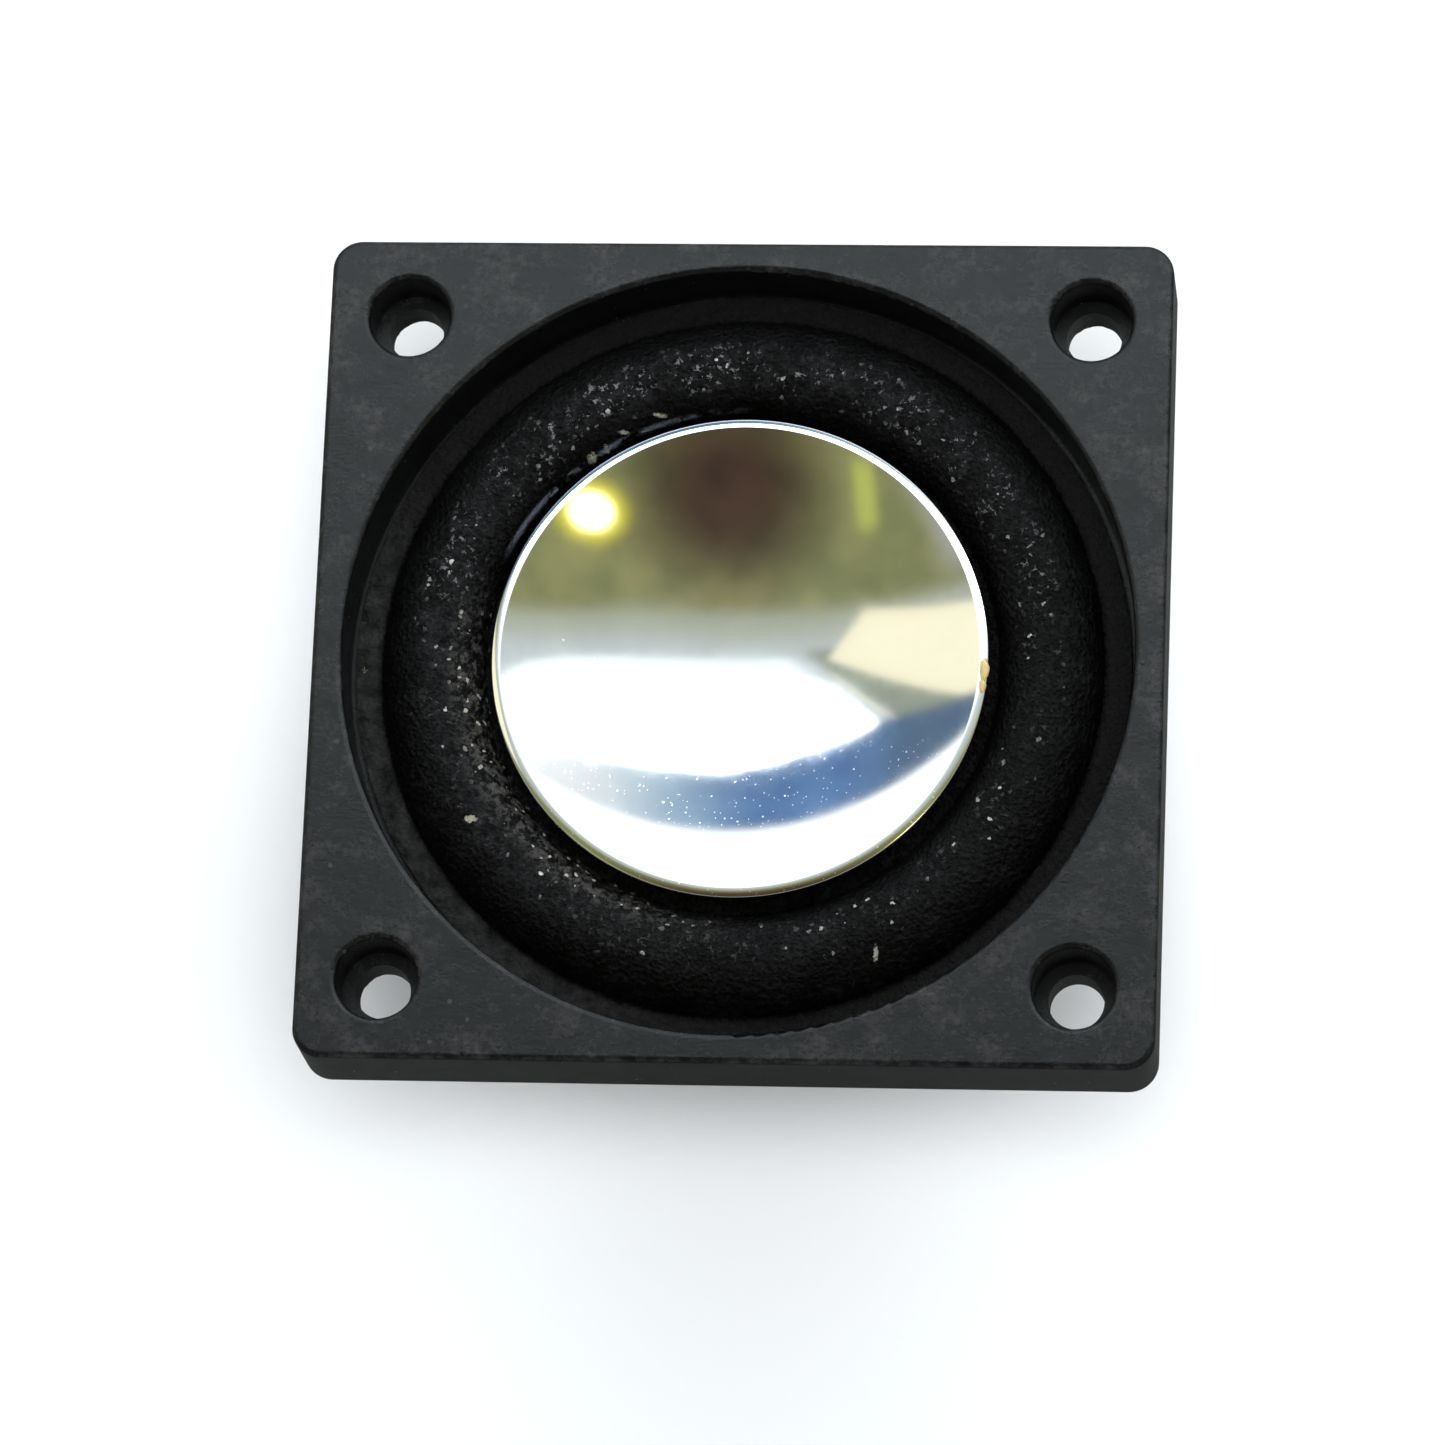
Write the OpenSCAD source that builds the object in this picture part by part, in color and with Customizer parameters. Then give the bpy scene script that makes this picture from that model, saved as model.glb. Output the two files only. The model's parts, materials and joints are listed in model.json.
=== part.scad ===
// Small square-framed tweeter with a foam roll surround and a concave metal diaphragm.
// Millimetres. +Z is the way it plays; the origin is at the centre of the yoke's back face.

/* [Flange] */
// Width and length of the square front flange
frame_w = 43; // [42.6:0.1:45]
// Overall depth, from the flange's front face to the yoke's back face
overall_h = 20; // [19.8:0.1:21]
// Thickness of the flange at its sides
flange_t = 4.8; // [4.5:0.1:5]
// Radius of the flange's four upright corners
corner_r = 1.5; // [1:0.1:2.5]
// Rounding along the front edges
edge_r = 0.3; // [0.1:0.05:0.4]

/* [Screw holes] */
// Distance between hole centres along each side
hole_pitch = 34.8; // [34.6:0.1:35.4]
// Diameter of the clearance hole
hole_d = 2.8; // [2.2:0.1:3]
// Diameter of the counterbore
cbore_d = 4.1; // [3.8:0.1:4.4]
// Depth of the counterbore below the front face
cbore_depth = 2.9; // [2:0.1:3.2]

/* [Recess and basket] */
// Radius of the round recess in the front face
recess_r = 20; // [19.8:0.1:20.2]
// Depth of the ledge that carries the surround
ledge_depth = 4; // [3.9:0.1:4.1]
// Outer radius of the basket behind the flange
basket_r = 19.5; // [19.3:0.1:19.8]
// Thickness of the basket's wall
basket_wall = 1.2; // [1:0.1:1.3]
// Width of each vent in the basket's wall, in degrees
vent_angle = 36; // [20:1:40]
// Height of the vents
vent_h = 3.8; // [2:0.1:3.9]

/* [Rear gasket] */
// Thickness of the foam gasket behind the flange
gasket_t = 0.6; // [0.4:0.1:1]
// How far the gasket stays inside the flange's edge
gasket_inset = 0.5; // [0.3:0.1:0.8]

/* [Surround] */
// Radius where the roll rises from its outer rim
roll_outer_r = 18.4; // [18.3:0.05:18.5]
// Radius where the roll comes down beside the diaphragm
roll_inner_r = 13; // [12.95:0.05:13.2]
// Thickness of the foam
foam_t = 0.4; // [0.3:0.05:0.5]

/* [Diaphragm] */
// Diameter of the diaphragm over its lip
dish_d = 25.2; // [24.8:0.1:25.4]
// Radius of curvature of the concave face
dish_curve_r = 20.9; // [19:0.1:24]
// Width of the rolled lip round the edge
lip_w = 0.7; // [0.6:0.05:0.8]
// Depth of the lip's top below the front face
lip_depth = 1.7; // [1.65:0.05:1.9]
// Thickness of the metal
dish_t = 0.25; // [0.15:0.05:0.3]

/* [Voice coil] */
// Inner radius of the coil former
former_r = 7.95; // [7.9:0.01:7.98]
// Thickness of the coil former
former_t = 0.1; // [0.08:0.01:0.12]
// Height of the copper winding
winding_h = 4; // [3:0.1:4.4]
// Thickness of the winding's two layers
winding_t = 0.4; // [0.3:0.02:0.44]
// How far the diaphragm can move each way from rest
travel = 1.5; // [1:0.1:1.5]

/* [Motor] */
// Outer radius of the yoke cup
yoke_r = 11.5; // [11.2:0.1:11.6]
// Height of the yoke cup
yoke_h = 9; // [8.8:0.1:9.2]
// Thickness of the yoke's bottom
yoke_floor = 2.5; // [2:0.1:2.6]
// Thickness of the pole plate, which sets the height of the gap
plate_t = 2; // [1.5:0.1:2.4]
// Radius of the pole plate
plate_r = 7.7; // [7.6:0.01:7.72]
// Radius of the magnet disc
magnet_r = 7.4; // [7:0.1:7.5]

/* [Spider] */
// Outer radius of the spider's glued rim
spider_r = 14.8; // [14.5:0.1:14.9]
// Thickness of the treated cloth
spider_t = 0.3; // [0.2:0.05:0.35]
// Height of the corrugations above and below the middle
wave_h = 0.4; // [0.2:0.05:0.45]

/* [Terminals] */
// Distance between the two solder tags
tag_pitch = 7.2; // [6.8:0.1:7.6]
// Width of a solder tag
tag_w = 2.2; // [1.8:0.1:2.4]
// How far a tag stands out behind the terminal board
tag_l = 5; // [4:0.1:5.4]

/* [Hidden] */
$fn = 96;
eps = 0.01;
// clearance between the moving body and the soft parts that are fixed to the frame
soft_gap = 0.06;

hw = frame_w / 2;
flange_z = overall_h - flange_t;
ledge_z = overall_h - ledge_depth;
hole_at = hole_pitch / 2;
bore_in_r = basket_r - basket_wall;

// basket floor, the collar round the yoke, and the pedestal under the spider
floor_t = 1.8;
floor_z = yoke_h - 1.2;
floor_top = floor_z + floor_t;
collar_r = 13;
collar_z = 5;
yoke_fit = 0.1;
stop_r = 10.6;
pedestal_r = 15;
pedestal_in_r = 13.2;
pedestal_h = 2;
pedestal_z = floor_top + pedestal_h;
notch_w = 3;
rib_count = 6;
rib_t = 0.9;
rib_h = 1.6;
rib_end = 0.7;
floor_chamfer = 1;
vent_z = floor_top + 0.3;

// surround: glue, flat rims and the arch between them
glue_t = 0.08;
rim_z = ledge_z + glue_t;
rim_out_r = recess_r - 0.25;
roll_mid_r = (roll_outer_r + roll_inner_r) / 2;
roll_r = (roll_outer_r - roll_inner_r) / 2;

// diaphragm: centre of curvature, edge of the mirror face, and the lip rolled over outside it
dish_r = dish_d / 2;
mirror_r = dish_r - lip_w;
lip_r = lip_w / 2;
lip_lap = 0.3;
lip_z = overall_h - lip_depth;
curve_z = lip_z + sqrt(pow(dish_curve_r, 2) - pow(mirror_r, 2));
back_r = dish_curve_r + dish_t;

// the surround's inner rim ends where the diaphragm's back comes down to it
rim_top = rim_z + foam_t;
rim_in_r = sqrt(pow(back_r, 2) - pow(curve_z - rim_top - soft_gap, 2)) + 0.05;
edge_glue_w = 0.9;

// voice coil
former_out_r = former_r + former_t;
gap_mid_z = yoke_h - plate_t / 2;
winding_z = gap_mid_z - winding_h / 2;
former_z = winding_z - 0.2;
former_top = curve_z - sqrt(pow(back_r, 2) - pow(former_r, 2));
collar_paper_t = 0.15;
paper_z = winding_z + winding_h + 0.1;
paper_h = 3.4;
paper_r = former_out_r + collar_paper_t;
dish_glue_w = 0.8;
dish_glue_h = 0.7;

// motor
gap_out_r = 8.78;
magnet_glue_t = 0.1;
magnet_z = yoke_floor + magnet_glue_t;
magnet_h = yoke_h - plate_t - magnet_z;
magnet_chamfer = 0.25;
yoke_chamfer = 0.5;
felt_r = 6.8;
felt_t = 0.6;
yoke_bead = 0.6;

// spider: flat rims either side of a run of waves
spider_z = pedestal_z + spider_t / 2;
spider_in_r = paper_r + soft_gap;
wave_from = 9.2;
wave_to = 13.2;
wave_count = 4;
wave_step = 0.1;
spider_bead_w = 0.8;
spider_bead_h = 0.7;

// terminals, on the +Y side of the basket floor
board_size = [12.6, 4.4, 0.8];
board_y = 16;
board_z = floor_z - board_size[2];
tag_t = 0.4;
tag_y = 16.2;
tag_foot = [2.6, 3.2];
tag_edge_y = board_y + board_size[1] / 2 - tag_t;
tag_hole_r = 0.55;
rivet_r = 0.7;
rivet_head_r = 1.1;
rivet_head_t = 0.35;
rivet_bore_r = 0.35;
rivet_low = board_z - tag_t - rivet_head_t;
rivet_high = floor_top + rivet_head_t;

// braided leads: a path in the upright plane through each rivet, as [radius, height]
lead_r = 0.3;
lead_sides = 8;
rivet_ring_r = sqrt(pow(tag_pitch / 2, 2) + pow(tag_y, 2));
lead_path = [
    [8.76, 13.0], [9.3, 13.15], [10.1, 13.4], [11.0, 13.6], [12.0, 13.7], [13.0, 13.65],
    [14.0, 13.4], [14.9, 12.95], [15.7, 12.35], [16.25, 11.7], [16.5, 11.1], [16.6, 10.5],
    [16.6, 10.05]
];
solder_r = 1;
lead_glue_r = 0.5;

// ---- shared shapes ----

// A square slab with rounded upright corners and rounded top edges
module rounded_slab(w, low, high, r, e) {
    for (x = [-1, 1], y = [-1, 1])
        translate([x * (w / 2 - r), y * (w / 2 - r), 0])
            rotate_extrude()
                half_section(r, low, high, e);
    for (turn = [0, 90])
        rotate([0, 0, turn])
            translate([-(w / 2 - r), 0, 0])
                rotate([90, 0, 90])
                    linear_extrude(w - 2 * r) {
                        half_section(w / 2, low, high, e);
                        mirror([1, 0, 0])
                            half_section(w / 2, low, high, e);
                    }
}

// A rectangle from the axis out to r, with its top outer corner rounded by e
module half_section(r, low, high, e) {
    translate([0, low])
        square([r, high - e - low]);
    translate([0, high - e - eps])
        square([r - e, e + eps]);
    translate([r - e, high - e])
        circle(e);
}

// A square plate with rounded corners and sharp edges
module plate(w, low, high, r) {
    translate([0, 0, low])
        linear_extrude(high - low) {
            square([w - 2 * r, w], center = true);
            square([w, w - 2 * r], center = true);
            for (x = [-1, 1], y = [-1, 1])
                translate([x * (w / 2 - r), y * (w / 2 - r)])
                    circle(r);
        }
}

// The space of a round well sunk into the front face, flared where it meets the face
module well(r, low) {
    rotate_extrude() {
        translate([0, low])
            square([r, overall_h + 1 - low]);
        difference() {
            translate([0, overall_h - edge_r])
                square([r + edge_r, 1 + edge_r]);
            translate([r + edge_r, overall_h - edge_r])
                circle(edge_r);
            translate([r + edge_r, overall_h])
                square([1, 1]);
        }
    }
}

// Places a child at each of the four screw holes
module at_holes() {
    for (x = [-1, 1], y = [-1, 1])
        translate([x * hole_at, y * hole_at, 0])
            children();
}

// Places a child at each of the two rivets
module at_rivets() {
    for (x = [-1, 1])
        translate([x * tag_pitch / 2, tag_y, 0])
            children();
}

// A plain ring
module ring(inner, outer, low, high) {
    rotate_extrude()
        translate([inner, low])
            square([outer - inner, high - low]);
}

// The ball whose underside is the diaphragm's back
module dish_ball_section() {
    translate([0, curve_z])
        circle(back_r, $fn = 360);
}

// ---- frame and soft parts ----

module basket_outer() {
    rotate_extrude()
        polygon([
            [0, collar_z], [collar_r, collar_z], [collar_r, floor_z],
            [basket_r - floor_chamfer, floor_z], [basket_r, floor_z + floor_chamfer],
            [basket_r, flange_z + eps], [0, flange_z + eps]
        ]);
    for (i = [0 : rib_count - 1])
        rotate([0, 0, i * 360 / rib_count])
            translate([collar_r - 0.5, rib_t / 2, 0])
                rotate([90, 0, 0])
                    linear_extrude(rib_t)
                        polygon([
                            [0, floor_z + eps], [0, floor_z - rib_h],
                            [basket_r - floor_chamfer - rib_end - collar_r, floor_z],
                            [basket_r - floor_chamfer - rib_end - collar_r, floor_z + eps]
                        ]);
}

module basket_vents() {
    for (i = [0 : rib_count - 1])
        rotate([0, 0, (i + 0.5) * 360 / rib_count - vent_angle / 2])
            rotate_extrude(angle = vent_angle)
                translate([bore_in_r - 0.5, vent_z])
                    square([basket_wall + 1, vent_h]);
}

module frame() {
    color("#33363a")
        difference() {
            union() {
                difference() {
                    union() {
                        rounded_slab(frame_w, flange_z, overall_h, corner_r, edge_r);
                        basket_outer();
                    }
                    well(recess_r, ledge_z);
                    translate([0, 0, floor_top])
                        cylinder(r = bore_in_r, h = overall_h - floor_top);
                }
                ring(pedestal_in_r, pedestal_r, floor_top - eps, pedestal_z);
            }
            translate([0, 0, collar_z - 1])
                cylinder(r = yoke_r + yoke_fit, h = yoke_h - collar_z + 1);
            translate([0, 0, collar_z])
                cylinder(r = stop_r, h = overall_h);
            for (turn = [0, 90])
                rotate([0, 0, turn + 45])
                    translate([-pedestal_r - 1, -notch_w / 2, floor_top])
                        cube([2 * pedestal_r + 2, notch_w, pedestal_h + 1]);
            basket_vents();
            at_holes() {
                well(cbore_d / 2, overall_h - cbore_depth);
                translate([0, 0, flange_z - 1])
                    cylinder(d = hole_d, h = flange_t);
            }
            at_rivets()
                translate([0, 0, floor_z - 1])
                    cylinder(r = rivet_r, h = floor_t + 2);
        }
}

module rear_gasket() {
    color("#1c1c1e")
        difference() {
            plate(frame_w - 2 * gasket_inset, flange_z - gasket_t, flange_z, corner_r - gasket_inset);
            translate([0, 0, flange_z - gasket_t - 1])
                cylinder(r = basket_r + 0.2, h = gasket_t + 2);
            at_holes()
                translate([0, 0, flange_z - gasket_t - 1])
                    cylinder(d = hole_d + 0.2, h = gasket_t + 2);
        }
}

module surround() {
    color("#1f2022")
        rotate_extrude() {
            translate([roll_outer_r - foam_t / 2, rim_z])
                square([rim_out_r - roll_outer_r + foam_t / 2, foam_t]);
            translate([rim_in_r, rim_z])
                square([roll_inner_r - rim_in_r + foam_t / 2, foam_t]);
            intersection() {
                translate([roll_mid_r, rim_z])
                    difference() {
                        circle(roll_r);
                        circle(roll_r - foam_t);
                    }
                translate([roll_mid_r - roll_r, rim_z])
                    square([2 * roll_r, roll_r + 1]);
            }
        }
}

module surround_adhesive() {
    color("#b8a878")
        ring(roll_outer_r + 0.1, rim_out_r - 0.2, ledge_z, rim_z);
}

module spider() {
    half = spider_t / 2;
    radii = [for (i = [0 : round((wave_to - wave_from) / wave_step)]) wave_from + i * wave_step];
    top = [for (r = radii) [r, spider_wave(r) + half]];
    low = [for (i = [len(radii) - 1 : -1 : 0]) [radii[i], spider_wave(radii[i]) - half]];
    color("#c9a25c")
        rotate_extrude()
            polygon(concat(
                [[spider_in_r, spider_z - half], [spider_in_r, spider_z + half]],
                top,
                [[spider_r, spider_z + half], [spider_r, spider_z - half]],
                low
            ));
}

// Height of the spider's mid-surface at radius r
function spider_wave(r) =
    spider_z + wave_h * sin((r - wave_from) / (wave_to - wave_from) * 360 * wave_count);

// ---- moving assembly ----

module diaphragm() {
    color("#d7dadd") {
        rotate_extrude()
            difference() {
                intersection() {
                    dish_ball_section();
                    square([mirror_r - lip_lap / 2, lip_z + 1]);
                }
                translate([0, curve_z])
                    circle(dish_curve_r, $fn = 360);
            }
        rotate_extrude()
            difference() {
                union() {
                    translate([mirror_r - lip_lap, lip_z - 1.5 * dish_t])
                        square([lip_lap + lip_r, 1.5 * dish_t]);
                    translate([dish_r - lip_r, lip_z - lip_r])
                        circle(lip_r);
                }
                translate([0, curve_z])
                    circle(dish_curve_r, $fn = 360);
            }
    }
}

module diaphragm_edge_adhesive() {
    color("#c8bb8e")
        rotate_extrude()
            difference() {
                translate([rim_in_r, rim_top + soft_gap])
                    square([edge_glue_w, 2 * edge_glue_w]);
                dish_ball_section();
            }
}

module coil_former() {
    color("#a9642c")
        ring(former_r, former_out_r, former_z, former_top);
}

module coil_winding() {
    color("#b5642f")
        ring(former_out_r, former_out_r + winding_t, winding_z, winding_z + winding_h);
}

module coil_paper_collar() {
    color("#c7a679")
        ring(former_out_r, paper_r, paper_z, paper_z + paper_h);
}

module former_adhesive() {
    color("#d6c79a")
        rotate_extrude()
            difference() {
                translate([former_out_r, former_top - dish_glue_h])
                    polygon([
                        [0, 0], [dish_glue_w, dish_glue_h], [dish_glue_w, dish_glue_h + 1],
                        [0, dish_glue_h + 1]
                    ]);
                dish_ball_section();
            }
}

module spider_adhesive() {
    color("#2a2320")
        rotate_extrude()
            translate([paper_r, spider_z + spider_t / 2 + soft_gap])
                polygon([[0, 0], [spider_bead_w, 0], [0, spider_bead_h]]);
}

module lead_anchors() {
    color("#2a2320")
        for (x = [-1, 1])
            rotate([0, 0, x * atan(tag_pitch / 2 / tag_y)])
                difference() {
                    translate([0, paper_r, lead_path[0][1]])
                        sphere(r = lead_glue_r, $fn = 32);
                    cylinder(r = paper_r, h = overall_h, $fn = 96);
                }
}

// ---- motor ----

module yoke() {
    color("#9da1a5")
        rotate_extrude()
            polygon([
                [0, 0], [yoke_r - yoke_chamfer, 0], [yoke_r, yoke_chamfer], [yoke_r, yoke_h],
                [gap_out_r, yoke_h], [gap_out_r, yoke_floor], [0, yoke_floor]
            ]);
}

module magnet() {
    color("#b9bcc0")
        rotate_extrude()
            translate([0, magnet_z])
                polygon([
                    [0, 0], [magnet_r - magnet_chamfer, 0], [magnet_r, magnet_chamfer],
                    [magnet_r, magnet_h - magnet_chamfer], [magnet_r - magnet_chamfer, magnet_h],
                    [0, magnet_h]
                ]);
}

module magnet_adhesive() {
    color("#5a7a58")
        translate([0, 0, yoke_floor])
            cylinder(r = magnet_r - magnet_chamfer, h = magnet_glue_t);
}

module pole_plate() {
    color("#8e9296")
        translate([0, 0, yoke_h - plate_t])
            cylinder(r = plate_r, h = plate_t);
}

module pole_felt() {
    color("#3c3f45")
        translate([0, 0, yoke_h])
            cylinder(r = felt_r, h = felt_t);
}

module yoke_adhesive() {
    color("#d8cfa8")
        rotate_extrude()
            polygon([
                [yoke_r, collar_z - yoke_bead], [yoke_r + yoke_bead, collar_z],
                [yoke_r + yoke_fit, collar_z], [yoke_r + yoke_fit, yoke_h], [yoke_r, yoke_h]
            ]);
}

// ---- terminals and leads ----

module terminal_board() {
    color("#7a4a26")
        difference() {
            translate([-board_size[0] / 2, board_y - board_size[1] / 2, board_z])
                cube(board_size);
            at_rivets()
                translate([0, 0, board_z - 1])
                    cylinder(r = rivet_r, h = board_size[2] + 2);
        }
}

// One L-shaped solder tag; side is -1 or 1 along X
module solder_tag(side) {
    tip_z = board_z - tag_l;
    translate([side * tag_pitch / 2, 0, 0])
        difference() {
            union() {
                translate([-tag_foot[0] / 2, tag_edge_y + tag_t - tag_foot[1], board_z - tag_t])
                    cube([tag_foot[0], tag_foot[1], tag_t]);
                translate([-tag_w / 2, tag_edge_y, tip_z + tag_w / 2])
                    cube([tag_w, tag_t, tag_l - tag_w / 2]);
                translate([0, tag_edge_y + tag_t, tip_z + tag_w / 2])
                    rotate([90, 0, 0])
                        cylinder(d = tag_w, h = tag_t);
            }
            translate([0, tag_y, board_z - tag_t - 1])
                cylinder(r = rivet_r, h = tag_t + 2);
            translate([0, tag_edge_y + tag_t + 1, tip_z + tag_w / 2])
                rotate([90, 0, 0])
                    cylinder(r = tag_hole_r, h = tag_t + 2);
        }
}

module terminal_positive() {
    color("#c9a94f")
        solder_tag(1);
}

module terminal_negative() {
    color("#c9c9c4")
        solder_tag(-1);
}

module terminal_rivets() {
    color("#c4a84c")
        at_rivets()
            rotate_extrude()
                polygon([
                    [rivet_bore_r, rivet_low], [rivet_head_r, rivet_low],
                    [rivet_head_r, board_z - tag_t], [rivet_r, board_z - tag_t],
                    [rivet_r, floor_top], [rivet_head_r, floor_top],
                    [rivet_head_r, rivet_high], [rivet_bore_r, rivet_high]
                ]);
}

// One braided lead, swept along lead_path in the plane through the rivet on that side
module lead(side) {
    last = len(lead_path) - 1;
    tangents = [for (i = [0 : last]) lead_path[min(i + 1, last)] - lead_path[max(i - 1, 0)]];
    points = [
        for (i = [0 : last], k = [0 : lead_sides - 1])
            let (t = tangents[i] / norm(tangents[i]), a = 360 * k / lead_sides)
                [
                    lead_r * cos(a),
                    lead_path[i][0] - lead_r * sin(a) * t[1],
                    lead_path[i][1] + lead_r * sin(a) * t[0]
                ]
    ];
    sides = [
        for (i = [0 : last - 1], k = [0 : lead_sides - 1])
            let (a = i * lead_sides + k, b = i * lead_sides + (k + 1) % lead_sides)
                [a, b, b + lead_sides, a + lead_sides]
    ];
    first_cap = [for (k = [lead_sides - 1 : -1 : 0]) k];
    last_cap = [for (k = [0 : lead_sides - 1]) last * lead_sides + k];
    rotate([0, 0, -side * atan(tag_pitch / 2 / tag_y)])
        polyhedron(points = points, faces = concat(sides, [first_cap, last_cap]));
}

module lead_positive() {
    color("#b9794a")
        lead(1);
}

module lead_negative() {
    color("#b9794a")
        lead(-1);
}

module solder_joints() {
    color("#c6c8ca")
        at_rivets()
            intersection() {
                translate([0, 0, rivet_high])
                    sphere(r = solder_r, $fn = 48);
                translate([-solder_r, -solder_r, rivet_high])
                    cube(2 * solder_r);
            }
}

frame();
rear_gasket();
surround();
surround_adhesive();
diaphragm();
diaphragm_edge_adhesive();
coil_former();
coil_winding();
coil_paper_collar();
former_adhesive();
spider();
spider_adhesive();
lead_anchors();
yoke();
magnet();
magnet_adhesive();
pole_plate();
pole_felt();
yoke_adhesive();
terminal_board();
terminal_positive();
terminal_negative();
terminal_rivets();
lead_positive();
lead_negative();
solder_joints();
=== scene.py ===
import functools
import json
import math

import bmesh
import bpy
import numpy as np
from mathutils import Matrix, Quaternion, Vector, noise

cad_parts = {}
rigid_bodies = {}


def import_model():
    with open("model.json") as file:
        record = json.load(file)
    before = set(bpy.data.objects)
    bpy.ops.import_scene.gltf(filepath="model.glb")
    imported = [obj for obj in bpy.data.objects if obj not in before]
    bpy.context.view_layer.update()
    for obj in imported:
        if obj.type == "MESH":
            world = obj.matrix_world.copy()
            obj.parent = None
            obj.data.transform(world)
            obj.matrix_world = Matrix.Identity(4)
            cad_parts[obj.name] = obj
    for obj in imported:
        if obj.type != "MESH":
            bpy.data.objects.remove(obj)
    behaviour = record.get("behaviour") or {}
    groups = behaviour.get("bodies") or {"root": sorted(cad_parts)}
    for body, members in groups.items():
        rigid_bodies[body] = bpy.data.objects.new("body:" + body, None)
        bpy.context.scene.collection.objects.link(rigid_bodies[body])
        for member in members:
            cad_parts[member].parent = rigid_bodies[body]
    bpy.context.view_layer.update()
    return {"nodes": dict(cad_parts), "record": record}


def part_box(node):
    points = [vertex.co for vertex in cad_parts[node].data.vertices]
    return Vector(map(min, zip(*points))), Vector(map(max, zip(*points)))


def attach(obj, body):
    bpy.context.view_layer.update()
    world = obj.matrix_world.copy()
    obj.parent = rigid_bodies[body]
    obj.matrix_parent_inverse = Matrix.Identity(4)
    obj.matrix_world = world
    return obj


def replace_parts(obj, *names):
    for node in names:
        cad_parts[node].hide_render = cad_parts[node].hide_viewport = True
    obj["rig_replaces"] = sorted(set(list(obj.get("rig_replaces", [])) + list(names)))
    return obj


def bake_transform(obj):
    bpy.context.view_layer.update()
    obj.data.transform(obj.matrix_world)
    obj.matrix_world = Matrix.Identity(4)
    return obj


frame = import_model()

MM = 0.001
SEED = 7

# Car tweeter: the looks of each piece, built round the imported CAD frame. Heights run up from the yoke's
# back at 0 to the flange's front, and radii are from the part's axis.

# ---- sizes, in millimetres


def box_mm(node):
    """A CAD node's lowest and highest corners, in millimetres."""
    low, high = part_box(node)
    return np.array(low) / MM, np.array(high) / MM


HALF_W, _, FRONT_Z = box_mm("frame")[1]

SURROUND_LOW, SURROUND_HIGH = box_mm("surround")
FOAM_T = 0.4
RIM_Z = SURROUND_LOW[2]
RIM_OUT_R = SURROUND_HIGH[0]
ROLL_OUT_R = 18.4
ROLL_IN_R = 13.0
ROLL_MID_R = (ROLL_OUT_R + ROLL_IN_R) / 2
ROLL_R = (ROLL_OUT_R - ROLL_IN_R) / 2

DISH_R, _, DISH_HIGH_Z = box_mm("diaphragm")[1]
CAD_LIP_W = 0.7
DISH_CURVE_R = 20.9
DISH_T = 0.25
LIP_W = 0.48
DISH_CENTRE_Z = DISH_HIGH_Z + math.sqrt(DISH_CURVE_R ** 2 - (DISH_R - CAD_LIP_W) ** 2)
DISH_TOP_Z = DISH_CENTRE_Z - math.sqrt(DISH_CURVE_R ** 2 - (DISH_R - LIP_W) ** 2)

SPIDER_LOW, SPIDER_HIGH = box_mm("spider")
SPIDER_R = SPIDER_HIGH[0]
SPIDER_T = 0.3
PAPER_R = box_mm("coil_paper_collar")[1][0]
WAVE_FROM = 9.2
WAVE_TO = 13.2
WAVE_COUNT = 4

YOKE_LOW, YOKE_HIGH = box_mm("yoke")
COIL_IN_R = box_mm("coil_former")[1][0]
SPIDER_INNER_R = PAPER_R + 0.06
SURROUND_INNER_R = 9.46
TERMINAL_X = 3.6
RIVET_Y = 16.2
RIVET_HOLE_R = 0.72
HOLE_AT = 17.4

# ---- mesh helpers


def shown(name, data):
    """A new object in the scene with that data."""
    obj = bpy.data.objects.new(name, data)
    bpy.context.scene.collection.objects.link(obj)
    return obj


def smoothed(mesh, smooth=True):
    mesh.polygons.foreach_set("use_smooth", [smooth] * len(mesh.polygons))
    return mesh


def mesh_object(name, points, faces, smooth=True):
    """A mesh object from points in millimetres and its faces."""
    mesh = bpy.data.meshes.new(name)
    mesh.from_pydata([tuple(p) for p in np.asarray(points) * MM], [], [tuple(f) for f in faces])
    mesh.validate()
    smoothed(mesh, smooth).update()
    return shown(name, mesh)


def arc(cx, cz, radius, start, stop, steps):
    """Points along an arc in the (radius, height) plane; angles in degrees from +r towards +z."""
    turns = np.radians(np.linspace(start, stop, steps + 1))
    return [(cx + radius * math.cos(t), cz + radius * math.sin(t)) for t in turns]


def resample(line, step):
    """The same line with points about step apart; its corners stay."""
    out = [line[0]]
    for (ar, az), (br, bz) in zip(line, line[1:]):
        parts = max(1, math.ceil(math.hypot(br - ar, bz - az) / step))
        out += [(ar + (br - ar) * i / parts, az + (bz - az) * i / parts) for i in range(1, parts + 1)]
    return out


def rounded(corners, radius, steps=4):
    """A closed outline whose corners are rounded; radius is one value or one for each corner."""
    count = len(corners)
    radii = [radius] * count if np.isscalar(radius) else radius
    out = []
    for i, here in enumerate(corners):
        here = np.array(here, float)
        before = np.array(corners[i - 1], float) - here
        after = np.array(corners[(i + 1) % count], float) - here
        cut = min(radii[i], 0.49 * np.linalg.norm(before), 0.49 * np.linalg.norm(after))
        if cut < 1e-6:
            out.append(tuple(here))
            continue
        a = here + before / np.linalg.norm(before) * cut
        b = here + after / np.linalg.norm(after) * cut
        for t in np.linspace(0, 1, steps + 1):
            out.append(tuple((1 - t) ** 2 * a + 2 * t * (1 - t) * here + t * t * b))
    return out


def spun(radii, heights, turn):
    """Each (radius, height) turned to each angle about Z."""
    flat = [np.outer(radii, np.cos(turn)), np.outer(radii, np.sin(turn))]
    return np.stack([*flat, np.outer(heights, np.ones(len(turn)))], axis=2)


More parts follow.
